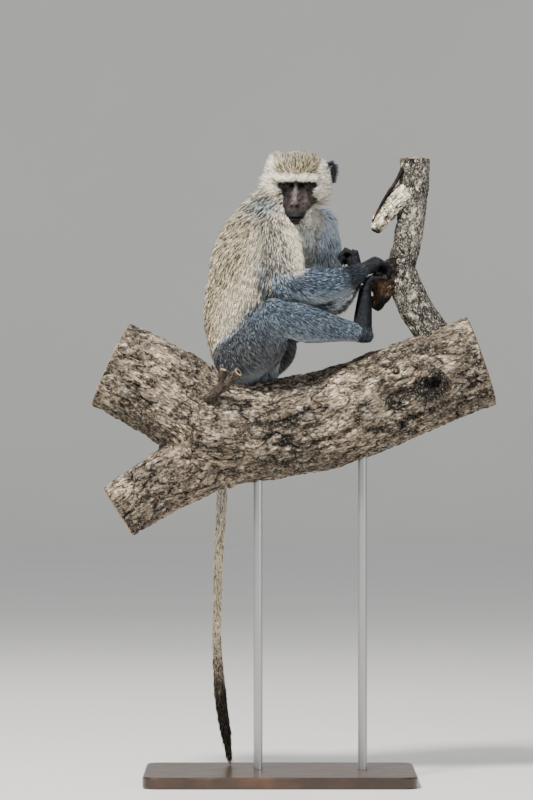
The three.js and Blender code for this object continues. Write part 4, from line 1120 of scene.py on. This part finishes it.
def fur_material(name, rough=0.62, gloss=0.28, sheen=0.12):
    """Hair in its painted tone, a little patchy."""
    n = Nodes(name)
    tone = n.tone(n.ramp(n.noise(220, 2), 0.84, 1.14))
    return n.finish(tone, n.ramp(n.noise(90, 2), rough - 0.08, rough + 0.1), Specular_IOR_Level=gloss,
                    Sheen_Weight=sheen, Sheen_Roughness=0.4)


def skin_material():
    """Bare skin: fine wrinkles and pores over the painted tone, a little gloss where it is bare."""
    n = Nodes("skin")
    pore = n.texture("ShaderNodeTexVoronoi", "Distance", Scale=900.0, feature="DISTANCE_TO_EDGE")
    fold = n.noise(260, 6)
    n.bump(n.math("MULTIPLY_ADD", n.ramp(pore, 0.0, 1.0, 0.0, 0.25), 0.35, fold), 0.55, 0.0009)
    return n.finish(n.tone(n.ramp(n.noise(75, 4), 0.72, 1.3)), n.ramp(fold, 0.46, 0.66), Specular_IOR_Level=0.16)

# ------------------------------------------------------------------ the skin and its coat


def skin_tone(survey):
    """The skin under the coat, in a darker mean of its hair's tones."""
    share = survey["share"][:, None]
    return (survey["light"] * (1 - share) + survey["dark"] * share) * 0.62


def head_skin_tone(points, survey):
    """Black-brown bare skin, with the muzzle and left cheek lighter brown, partly their own tone and partly painted
    light, a painted highlight on the bridge and painted shade in the sockets, mouth and nostrils.
    """
    x, y, z = in_head(points).T
    # Painted highlight: a pale streak down the bridge of the nose.
    bridge = smoothstep(5.5, 1, np.abs(y)) * smoothstep(-34, -24, z) * smoothstep(-4, -14, z) * smoothstep(40, 46, x)
    muzzle = smoothstep(44, 54, x) * smoothstep(-50, -30, z) * smoothstep(-4, -20, z)
    # Painted light: the lit brown of the cheek is on the head's left only.
    cheek = smoothstep(24, 14, np.hypot(np.abs(y) - 19, z + 27)) * 0.4 * smoothstep(-4, 12, y)
    patchy = 0.6 + 0.6 * noise(points / 3.5, 41) + 0.5 * noise(points / 1.6, 42)
    # Painted light: the muzzle's brown is strong on the head's left, its lit side, and faint on its right.
    muzzle *= 0.1 + 0.6 * smoothstep(-14, -2, y)
    bare = mix(FACE_SKIN, FACE_LIT_BROWN, np.clip(np.maximum(muzzle, cheek) * patchy, 0, 1))
    bare = mix(bare, BRIDGE_HIGHLIGHT, bridge * np.clip(0.5 + 0.6 * noise(points / 1.8, 43), 0, 1))
    socket = smoothstep(17, 9, np.hypot(np.abs(y) - EYE["out"], 1.4 * (z - EYE["up"])))
    mouth = smoothstep(1.6, 0.4, np.abs(z - MOUTH_UP)) * smoothstep(44, 52, x)
    nostrils = smoothstep(4.2, 2.4, np.hypot(np.abs(y) - 4.2, z + 37.5)) * smoothstep(56, 60, x)
    # Painted shade: the sockets, the mouth's slit and the nostrils are darkened.
    bare = bare * (1 - np.max([0.62 * socket, 0.65 * mouth, 0.6 * nostrils], axis=0))[:, None]
    return mix(skin_tone(survey), bare, survey["bare"])


def paw_skin_tone(paw, points, survey):
    """Black bare skin with lighter knuckles, that passes into the wrist's fur."""
    local = (points - paw.origin) @ paw.axes
    knuckle = 0.5 + 0.5 * noise(points / 4.5, 43)
    bare = mix(PAW_SKIN, PAW_GLOW, 0.45 * knuckle * smoothstep(-6, 6, local[:, 2]))
    return mix(bare, skin_tone(survey), 0.6 * smoothstep(10, -6, local[:, 0]))


FUR_MATERIAL = fur_material("fur")
GREY_FUR_MATERIAL = fur_material("grey_fur", 0.58, 0.14, 0.04)
HEAD_FUR_MATERIAL = fur_material("head_fur")
SKIN_MATERIAL = skin_material()
FLESH = [
    "head", "neck", "chest", "abdomen", "pelvis", "tail_root", "tail_upper", "tail_middle", "tail_lower", "tail_tip",
    "ear_left", "ear_right",
] + [f"{part}_{side}" for part in ("thigh", "shin", "foot", "upper_arm", "forearm", "hand")
     for side in ("right", "left")]

HAIR_SEED = 11
rng = np.random.default_rng(HAIR_SEED)
skin_parts = build_skin_parts()
surveys, all_tones = {}, []
for part, (verts, quads) in skin_parts.items():
    normals = normals_of(verts, quads)
    if part in ("head", "skull"):
        survey = survey_head(verts, normals)
        all_tones.append(head_skin_tone(verts, survey))
    elif part in PAWS:
        survey = survey_paw(PAWS[part], verts, normals)
        all_tones.append(paw_skin_tone(PAWS[part], verts, survey))
    else:
        survey = survey_body(verts, normals)
        all_tones.append(skin_tone(survey))
    surveys[part] = (normals, survey)
starts = np.cumsum([0] + [len(verts) for verts, _ in skin_parts.values()])
all_quads = np.vstack([quads + start for (_, quads), start in zip(skin_parts.values(), starts)])
skin = make_mesh("skin", np.vstack([verts for verts, _ in skin_parts.values()]), all_quads, np.vstack(all_tones))
add_piece(skin, SKIN_MATERIAL, FLESH, "dark_skin")

HEAD_CORE = [shape for shape, _ in list(head_shapes())[:SKULL_SHAPES + 1]]
NECK_CORE = neck_tube()
INSIDE_HEAD, INSIDE_NECK, SPLIT_GAP = -1, -3, 0.5  # where no hair grows: deeper than this, or this near the split
SLOTS = {FUR_MATERIAL: "body_fur", GREY_FUR_MATERIAL: "grey_fur", HEAD_FUR_MATERIAL: "head_fur"}
TRUNK_COAT = (("pelvis", -FAR, 676), ("loins", 676, 738), ("back", 738, 796), ("shoulders", 796, 848),
              ("nape", 848, FAR))  # the trunk's pieces of coat, and the heights between which each one grows


def coat_pieces(part, roots):
    """The pieces of one part's coat: name, kind of tuft, material and which of the roots."""
    every = np.full(len(roots["at"]), True)
    if part in ("head", "skull"):
        return [("coat_face" if part == "head" else "coat_crown", LONG_TUFT, HEAD_FUR_MATERIAL, every)]
    if part != "body":
        return [(f"coat_{part}", SHORT_TUFT, GREY_FUR_MATERIAL, every)]
    height, kinds = roots["at"][:, 2], np.array(BONE_NAMES)[roots["bone"]]
    pieces = [(f"coat_{name}", LONG_TUFT, FUR_MATERIAL, (kinds == "torso") & (height > low) & (height <= high))
              for name, low, high in TRUNK_COAT]
    for name in BONE_NAMES[1:]:
        if bone_kind(name) in ("neck", "upper_arm"):
            pieces.append((f"coat_{name}", LONG_TUFT, FUR_MATERIAL, kinds == name))
        elif name != "tail":
            pieces.append((f"coat_{name}", SHORT_TUFT, GREY_FUR_MATERIAL, kinds == name))
    return pieces


def lay_coat():
    """Samples every part's roots, drops those buried in another part, and makes the coat's pieces."""
    for part, (verts, quads) in skin_parts.items():
        normals, survey = surveys[part]
        roots = sample_roots(verts, quads, normals, survey, rng)
        at = roots["at"]
        if part == "body":
            roots = select(roots, np.min([shape.distance(at) for shape in HEAD_CORE], axis=0) > INSIDE_HEAD)
        elif part in ("head", "skull"):
            in_front = in_head(at)[:, 0] > HEAD_SPLIT + SPLIT_GAP
            roots = select(roots, (NECK_CORE.distance(at) > INSIDE_NECK) & (in_front == (part == "head")))
        for name, tuft, material, keep in coat_pieces(part, roots):
            add_coat(name, select(roots, keep), tuft, material, SLOTS[material], rng)


lay_coat()

# ------------------------------------------------------------------ eyes and nails


PUPIL, IRIS_INNER, IRIS_OUTER = srgb(0.015, 0.01, 0.008), srgb(0.16, 0.085, 0.045), srgb(0.085, 0.048, 0.03)
IRIS_RIM, SCLERA = srgb(0.03, 0.02, 0.015), srgb(0.08, 0.055, 0.045)


def eye_mesh(name, centre, gaze, radius):
    """An eyeball with rings about its gaze: pupil, iris, dark rim and sclera, and a slight bulge of the cornea."""
    fine, rings, spokes = 30, 44, 48
    polar = np.concatenate([np.linspace(0, 50, fine), np.linspace(56, 180, rings - fine)])[:, None]
    around = np.linspace(0, 2 * math.pi, spokes, endpoint=False)[None]
    gaze = unit(gaze)
    side = unit(np.cross(gaze, (0, 0, 1)))
    up = np.cross(side, gaze)
    p = np.radians(polar)
    bulge = 1 + 0.035 * np.exp(-((polar / 30) ** 4))
    directions = (np.cos(p)[..., None] * gaze + np.sin(p)[..., None]
                  * (np.cos(around)[..., None] * side + np.sin(around)[..., None] * up))
    verts = centre + radius * bulge[..., None] * directions
    lattice = np.broadcast_arrays(7 * np.cos(around), 7 * np.sin(around), p * 3)
    fibre = 0.8 + 0.35 * noise(np.stack(lattice, -1), 51)
    tone = mix(IRIS_INNER, IRIS_OUTER, smoothstep(13, 30, polar)) * fibre[..., None]
    for value, low, high in ((IRIS_RIM, 29, 33), (SCLERA, 36, 42), (PUPIL, 13.5, 11.5)):
        tone = mix(tone, value, smoothstep(low, high, polar))
    return make_mesh(name, verts.reshape(-1, 3), ring_quads(0, rings - 1, spokes), tone.reshape(-1, 3))


def eye_material():
    """A wet, dark eye with a clear coat."""
    n = Nodes("eye")
    return n.finish(n.tone(n.ramp(n.noise(600, 3), 0.75, 1.25)), Roughness=0.30, Coat_Weight=0.3,
                    Coat_Roughness=0.03, Specular_IOR_Level=0.1)


def nail_meshes():
    """Every nail as a small curved plate, tapered to its tip, joined in one mesh."""
    verts, faces = [], []
    wide, long = 7, 6
    sheet = wide * long
    u, v = np.meshgrid(np.linspace(-1, 1, wide), np.linspace(0, 1, long), indexing="ij")
    for paw in PAWS.values():
        for tip, along, back, half in paw.nail_places():
            across = np.cross(along, back)
            arch = np.sqrt(np.maximum(1 - (0.86 * u) ** 2, 0))
            narrow = 1 - 0.35 * v**3
            for lift in (0.55, -0.25):
                place = (tip + along * ((v * 1.75 - 0.75) * half * 1.35)[..., None]
                         + across * (0.95 * half * u * narrow)[..., None]
                         + back * (half * (0.98 * arch * (1 - 0.16 * v**2)) + lift * 0.6)[..., None])
                verts.append(place.reshape(-1, 3))
            grid = np.arange(sheet).reshape(wide, long) + sheet * (len(verts) - 2)
            top = np.stack([grid[:-1, :-1], grid[1:, :-1], grid[1:, 1:], grid[:-1, 1:]], -1).reshape(-1, 4)
            rim = np.concatenate([grid[:, 0], grid[-1, 1:], grid[-2::-1, -1], grid[0, -2:0:-1]])
            wall = np.stack([rim, np.roll(rim, -1), np.roll(rim, -1) + sheet, rim + sheet], -1)
            faces += [top, top[:, ::-1] + sheet, wall]
    return np.vstack(verts), np.vstack(faces)


def horn_material():
    """Dark horn with fine streaks."""
    n = Nodes("nail")
    streak = n.ramp(n.noise(500, 4), 0.0, 1.0)
    n.bump(n.noise(900, 2), 0.2, 0.0002)
    return n.finish(n.blend(srgb(0.07, 0.06, 0.06), srgb(0.20, 0.18, 0.17), streak), Roughness=0.3,
                    Coat_Weight=0.3, Coat_Roughness=0.2)


EYE_MATERIAL = eye_material()
for side, sign in (("right", -1), ("left", 1)):
    centre = on_head((EYE["forward"], sign * EYE["out"], EYE["up"]))
    gaze = (-0.05 + 0.02 * sign, -1, -0.01)
    add_piece(eye_mesh(f"eyeball_{side}", centre, gaze, EYE["radius"]), EYE_MATERIAL, (f"eye_{side}",), "eye")
add_piece(make_mesh("nails", *nail_meshes()), horn_material(), (), "dark_skin")

# ------------------------------------------------------------------ the cut limb's bark


SAWN_END = 0.05  # a flat end's cap, as a share of the wood's thickness
SAWN_BULGE = 5.5  # how far from its plane a point still belongs to a sawn end, in mm
STRETCH = 160  # how far the grain is followed past a log's ends, in mm


def wood_tube(rows, end=SAWN_END):
    """A round log; end is its far cap as a share of its thickness."""
    stations = [[*at, half, half] for at, half in rows]
    return Tube(curve(stations, 5 * len(stations)), (0, 0.2, 1), (0.5, end))


def wood_places(tubes, points):
    """For each tube: each point's place in its wood, along the grain and across it in mm, and the tube's share."""
    places, gaps = [], []
    for tube in tubes:
        start, end = unit(tube.at[0] - tube.at[1]), unit(tube.at[-1] - tube.at[-2])
        at = np.vstack([tube.at[0] + STRETCH * start, tube.at, tube.at[-1] + STRETCH * end])
        wide = tube.wide[[0, *range(len(tube.wide)), -1]]
        longer = Tube(np.column_stack([at, wide, wide]), tube.front[0])
        run, angle, gap, _ = longer.place(points)
        radius = np.interp(run, longer.run, wide) + gap
        side = 1 if start[0] < 0 else -1
        places.append(np.stack([tube.at[0][0] + side * (run - STRETCH), radius * np.cos(angle),
                                side * radius * np.sin(angle)], 1))
        beyond = np.maximum(np.maximum(STRETCH - run, run - longer.run[-1] + STRETCH), 0)
        gaps.append(np.abs(gap) + 0.6 * beyond)
    return places, nearness(np.stack(gaps, 1))


def end_share(tubes, points, normals):
    """How much a point lies on a sawn end rather than on the bark, and how far it is from the pith there."""
    share, radial = np.zeros(len(points)), np.zeros(len(points))
    for tube in tubes:
        if tube.ends[1] == SAWN_END:
            out = unit(tube.at[-1] - tube.at[-2])
            v = points - tube.at[-1]
            near = np.linalg.norm(v - (v @ out)[:, None] * out, axis=1)
            here = smoothstep(0.7, 0.9, normals @ out) * (near < tube.wide[-1] * 1.1)
            here = here * (np.abs(v @ out) < SAWN_BULGE)
            radial = np.where(here > share, near, radial)
            share = np.maximum(share, here)
    return share, radial


def furrows(q, points, grain):
    """Furrowed bark at places in the wood: how high each point stands, and how deep it lies in a furrow, 0 to 1."""
    warp = 0
    for size, reach in ((26, [26, 9, 9]), (9, [7, 3, 3])):
        warp = warp + np.stack([noise(q / size + 7 * k, 61 + k) for k in range(3)], 1) * reach
    long_cracks = np.abs(noise((q + warp) / [75 * grain, 21 * grain, 21 * grain], 65))
    short_cracks = np.abs(noise((q + warp) / [24 * grain, 8 * grain, 8 * grain], 66))
    open_here = smoothstep(-0.5, 0.3, noise(points / 45, 67))
    furrow = np.maximum(smoothstep(0.17, 0.03, long_cracks) * (0.35 + 0.65 * open_here),
                        0.5 * smoothstep(0.13, 0.01, short_cracks))
    plate = 0.5 * noise(q / [24 * grain, 11 * grain, 11 * grain], 68) + 0.3 * noise(points / 5, 69)
    return 0.7 * plate - furrow, furrow


BARK_TAN, BARK_GREY, BARK_BLACK = srgb(0.66, 0.59, 0.51), srgb(0.62, 0.59, 0.55), srgb(0.09, 0.08, 0.075)
LICHEN, HEARTWOOD, HEART_DARK = srgb(0.84, 0.81, 0.75), srgb(0.73, 0.64, 0.51), srgb(0.34, 0.25, 0.17)
ROT_BROWN, ROT_DARK, STUB_PALE = srgb(0.44, 0.34, 0.26), srgb(0.11, 0.085, 0.07), srgb(0.99, 0.94, 0.84)
TWIG_GREY = srgb(0.40, 0.35, 0.31)


def wood_tone(look, verts, normals, furrow):
    """Bark or rotten wood in its look's low and high tones, with flecks of lichen, dark cracks and painted shade on
    its underside.
    """
    pale = smoothstep(-0.15, 0.5, look["pale"] + noise(verts / 38, 71) + 0.5 * noise(verts / 11, 72))
    fleck = smoothstep(0.35, 0.75, noise(verts / 6.5, 73) + 0.5 * noise(verts / 19, 74)) * (1 - furrow)
    tone = mix(mix(look["low"], look["high"], pale), LICHEN, look["lichen"] * fleck)
    tone = mix(tone, look["crack"], np.clip(furrow, 0, 1) * 0.93)
    # Painted shade: darker where the surface faces down.
    return tone * (1 - 0.3 * smoothstep(0.1, 0.9, -normals[:, 2]))[:, None]


def wood_piece(name, nodes, tubes, step, look, material, slot, blend=14, hollows=(), scars=()):
    """One piece of the cut limb: tubes melted together, furrowed and painted to its look, with sawn ends."""
    low = np.min([t.low for t in tubes], axis=0) - 6
    high = np.max([t.high for t in tubes], axis=0) + 6
    field = Field(low, high, step)
    for tube in tubes:
        field.melt(tube, blend)
    for hollow in hollows:
        field.carve(hollow, 2.5)
    verts, quads = field.surface()
    normals = normals_of(verts, quads)
    places, weight = wood_places(tubes, verts)
    rough = [furrows(q, verts, look["grain"]) for q in places]
    move, furrow = (sum(weight[:, i] * rough[i][k] for i in range(len(tubes))) for k in (0, 1))
    q = np.stack(places, 1)[np.arange(len(verts)), weight.argmax(1)]
    cut, radial = end_share(tubes, verts, normals)
    verts = verts + normals * (move * look["depth"] * (1 - cut))[:, None]
    old = smoothstep(0.55, 0.1, radial / (1 + radial.max()))
    heart = mix(HEARTWOOD, HEART_DARK, 0.5 * old + 0.2 * noise(verts / 8, 76))
    tone = mix(wood_tone(look, verts, normals, furrow), heart, cut)
    for scar in scars:
        inside = smoothstep(5, -2, scar.distance(verts) + scar.half.min() * 0.5 * noise(verts / 12, 77))
        tone = mix(tone, BARK_BLACK * 0.7, 0.9 * inside)
    for hollow in hollows:
        tone = mix(tone, ROT_DARK, smoothstep(3.5, 0.5, hollow.distance(verts)))
    obj = make_mesh(name, verts, quads, np.clip(tone, 0.005, 1))
    add_vectors(obj, "grain", q * [0.42, 1, 1] @ TILT * MM)
    add_vectors(obj, "sawn", np.stack([cut, radial * MM, 0 * cut], 1))
    add_piece(obj, material, nodes, slot)


def bark_material(name, scale=1.0, pale=0.35):
    """Bark: flaky plates with thin cracks, streaks along the grain and pale flecks, and rings on the sawn ends."""
    n = Nodes(name)
    grain = n.vector("grain")
    ends = n.add("ShaderNodeSeparateXYZ")
    n.join(n.vector("sawn"), ends.inputs[0])
    cut, radial = ends.outputs["X"], ends.outputs["Y"]
    plate, flake = (n.math("ABSOLUTE", n.math("SUBTRACT", n.noise(size * scale, 6, grain), 0.5))
                    for size in (42, 110))
    plate_crack, flake_crack = n.ramp(plate, 0.08, 1, 0, 0.028), n.ramp(flake, 0.35, 1, 0, 0.045)
    streak, speck = n.noise(330 * scale, 8, grain), n.noise(620 * scale, 3)
    bark = n.math("MULTIPLY", n.math("MULTIPLY", plate_crack, flake_crack), n.ramp(streak, 0.30, 1.75, 0.34, 0.66))
    bark = n.math("MULTIPLY", bark, n.ramp(speck, 0.72, 1.34, 0.35, 0.65))
    rings = n.math("SINE", n.math("MULTIPLY_ADD", radial, 2600.0, n.ramp(n.noise(30, 3), 0, 14)))
    sawn = n.math("MULTIPLY", n.ramp(rings, 0.78, 1.08, -1, 1), n.ramp(n.noise(240, 4), 0.86, 1.14))
    fleck = n.math("MULTIPLY", n.ramp(n.noise(260 * scale, 6), 0, pale, 0.54, 0.68), n.math("SUBTRACT", 1.0, cut))
    height = n.math("ADD", n.math("MULTIPLY", plate_crack, n.ramp(flake_crack, 0.6, 1, 0.5, 1)), streak)
    n.bump(n.fade(height, n.math("MULTIPLY", rings, 0.05), cut), 1.0, 0.0036 / scale)
    return n.finish(n.blend(n.tone(n.fade(bark, sawn, cut)), tuple(LICHEN), fleck), n.ramp(streak, 0.95, 0.78),
                    Specular_IOR_Level=0.25)


def wood_look(depth, grain, low, high, crack, lichen=0.15, pale=0):
    """Furrows' depth in mm and size, the tones, and the shares of lichen and of the high tone."""
    return {"depth": depth, "grain": grain, "low": low, "high": high, "crack": crack, "lichen": lichen, "pale": pale}


def ball_at(station, shift, half):
    return Ball(np.array(station[0]) + shift, half)


BARK = bark_material("bark")
THIN_BARK = bark_material("thin_bark", 1.5, 0.8)
TWIG_BARK = bark_material("twig_bark", 3.0, 0.0)
ROTTEN = bark_material("rotten_wood", 2.2, 0.0)
limb_tubes = [wood_tube(LIMB), wood_tube(FORK_UPPER), wood_tube(FORK_LOWER), wood_tube(KNOT, 0.3)]
wood_piece("limb_bark", ("perch_limb", "perch_fork_upper", "perch_fork_lower", "perch_knot"), limb_tubes, 3.0,
           wood_look(7.0, 1.0, BARK_TAN * 0.4, BARK_TAN, BARK_BLACK, 0.4), BARK, "bark",
           hollows=[ball_at(KNOT[-1], (1, -6, 0), (13, 15, 12))], scars=[ball_at(KNOT[1], (0, -6, -2), (31, 26, 27))])
wood_piece("upright_bark", ("perch_upright",), [wood_tube(UPRIGHT)], 1.9,
           wood_look(3.2, 0.62, BARK_GREY * 0.25, BARK_GREY * 0.8, BARK_BLACK, 0.85), THIN_BARK, "bark")
snag_tubes = [wood_tube(SNAG, 0.9), wood_tube(SNAG_SPUR, 0.9), wood_tube(SNAG_SPLINTER, 0.9)]
wood_piece("snag_wood", ("perch_snag",), snag_tubes, 1.5, wood_look(4.0, 0.5, ROT_DARK, ROT_BROWN, ROT_DARK),
           ROTTEN, "rotten_wood")
wood_piece("stub_wood", ("perch_stub",), [wood_tube(STUB, 0.6)], 1.3,
           wood_look(4.0, 0.6, ROT_BROWN, STUB_PALE, ROT_DARK, 0.9, 0.6), THIN_BARK, "bark",
           scars=[ball_at(STUB[-1], (-2, 0, -7), (12, 12, 8))])
wood_piece("twig_wood", ("perch_twig",), [wood_tube(TWIG), wood_tube(TWIG_FORK)], 1.1,
           wood_look(0.9, 0.3, TWIG_GREY * 0.6, TWIG_GREY, BARK_BLACK), TWIG_BARK, "bark", 3,
           [ball_at(TWIG[-1], (2, -0.5, 1.6), (3.4, 3.4, 3.4))])
flap_rows = curve([[*at, wide, deep] for at, wide, deep in FLAP], 20)
wood_piece("flap_wood", ("perch_flap",), [Tube(flap_rows, (-0.6, 0, 0.8), (1, 1))], 0.8,
           wood_look(0.9, 0.5, ROT_DARK, ROT_BROWN * 0.4, ROT_DARK), ROTTEN, "rotten_wood")

# ------------------------------------------------------------------ the stand's own nodes


def board_material():
    """Dark varnished wood."""
    n = Nodes("stand_board")
    wave = n.texture("ShaderNodeTexWave", "Fac", Scale=9.0, Distortion=5.0, Detail=4, bands_direction="Y")
    tone = n.blend(srgb(0.17, 0.11, 0.075), srgb(0.30, 0.20, 0.13), wave)
    n.bump(n.noise(350, 4), 0.12, 0.0004)
    return n.finish(n.times(tone, n.ramp(n.noise(60, 5), 0.8, 1.2)), n.ramp(n.noise(25, 4), 0.28, 0.42),
                    Coat_Weight=0.35, Coat_Roughness=0.15)


def steel_material():
    """Brushed steel."""
    n = Nodes("stand_steel")
    brushed = n.noise(700, 3)
    n.bump(brushed, 0.08, 0.0002)
    tone = n.blend((0.46, 0.46, 0.47), (0.58, 0.58, 0.58), brushed)
    return n.finish(tone, n.ramp(brushed, 0.26, 0.4), Metallic=1.0)


for node_name, material in (("stand_base", board_material()), ("stand_rod_1", steel_material()),
                            ("stand_rod_2", bpy.data.materials["stand_steel"])):
    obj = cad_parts[node_name]
    obj.data.materials.clear()
    obj.data.materials.append(material)

# ------------------------------------------------------------------ the studio

VIEW_HEIGHT = 800 * 1.55  # the view's height at the object, in mm: the picture's pixels times the size of one
CENTRE = np.array([-20.9, 0, 591.3])
LENS, SENSOR = 200.0, 36.0
DISTANCE = LENS / SENSOR * VIEW_HEIGHT
LIT_PLACE = Vector((0.02, 0, 0.65))
FLOOR_FLAT, SWEEP, WALL_TOP, SECTORS = 11.6, 1.6, 3.2, 72  # the floor's radii and height in metres
SKY = (0.84, 0.92, 1.0)


def add_camera():
    camera = bpy.data.cameras.new("camera")
    camera.lens, camera.sensor_width, camera.sensor_fit = LENS, SENSOR, "AUTO"
    camera.clip_end = 50
    obj = bpy.data.objects.new("camera", camera)
    obj.location = (CENTRE + (0, -DISTANCE, 0)) * MM
    obj.rotation_euler = (math.radians(90), 0, 0)
    bpy.context.scene.collection.objects.link(obj)
    bpy.context.scene.camera = obj


def add_light(name, at, size, power, color):
    light = bpy.data.lights.new(name, "AREA")
    light.shape, light.size, light.energy, light.color = "DISK", size, power, color
    obj = bpy.data.objects.new(name, light)
    obj.location = at
    obj.rotation_euler = (LIT_PLACE - Vector(at)).to_track_quat("-Z", "Y").to_euler()
    bpy.context.scene.collection.objects.link(obj)


def add_studio():
    """A round pale floor that sweeps up into a low wall on every side, soft lights and a pale world."""
    profile = [(0.0, 0.0), (2.0, 0.0), (FLOOR_FLAT, 0.0)]
    profile += [(FLOOR_FLAT + SWEEP * math.sin(a), SWEEP - SWEEP * math.cos(a))
                for a in np.linspace(0.1, math.pi / 2, 14)]
    profile += [(FLOOR_FLAT + SWEEP, WALL_TOP)]
    around = np.linspace(0, 2 * math.pi, SECTORS + 1)[:-1]
    rows = np.array([[r * math.cos(a), r * math.sin(a), z] for r, z in profile for a in around]) / MM
    j = np.arange(0, SECTORS, 2)
    middle = np.stack([0 * j, SECTORS + j, SECTORS + 1 + j, SECTORS + (j + 2) % SECTORS], 1)
    obj = make_mesh("studio_floor", rows, np.vstack([ring_quads(1, len(profile) - 1, SECTORS), middle]))
    n = Nodes("studio_paper")
    paper = n.blend(srgb(0.80, 0.79, 0.77), srgb(0.84, 0.83, 0.81), n.noise(1.5, 3))
    obj.data.materials.append(n.finish(paper, Roughness=0.85, Emission_Color=(0.80, 0.80, 0.78, 1),
                                       Emission_Strength=0.18))
    add_light("key", (-1.3, -2.3, 3.9), 0.8, 430, (1.0, 0.96, 0.90))
    add_light("fill", (2.8, -2.4, 1.4), 2.0, 34, SKY)
    add_light("rim", (-0.6, 2.2, 3.0), 1.4, 55, (1.0, 0.98, 0.95))
    scene = bpy.context.scene
    scene.world = scene.world or bpy.data.worlds.new("studio")
    scene.world.use_nodes = True
    background = scene.world.node_tree.nodes["Background"].inputs
    background["Color"].default_value, background["Strength"].default_value = (*SKY, 1), 0.36


add_camera()
add_studio()
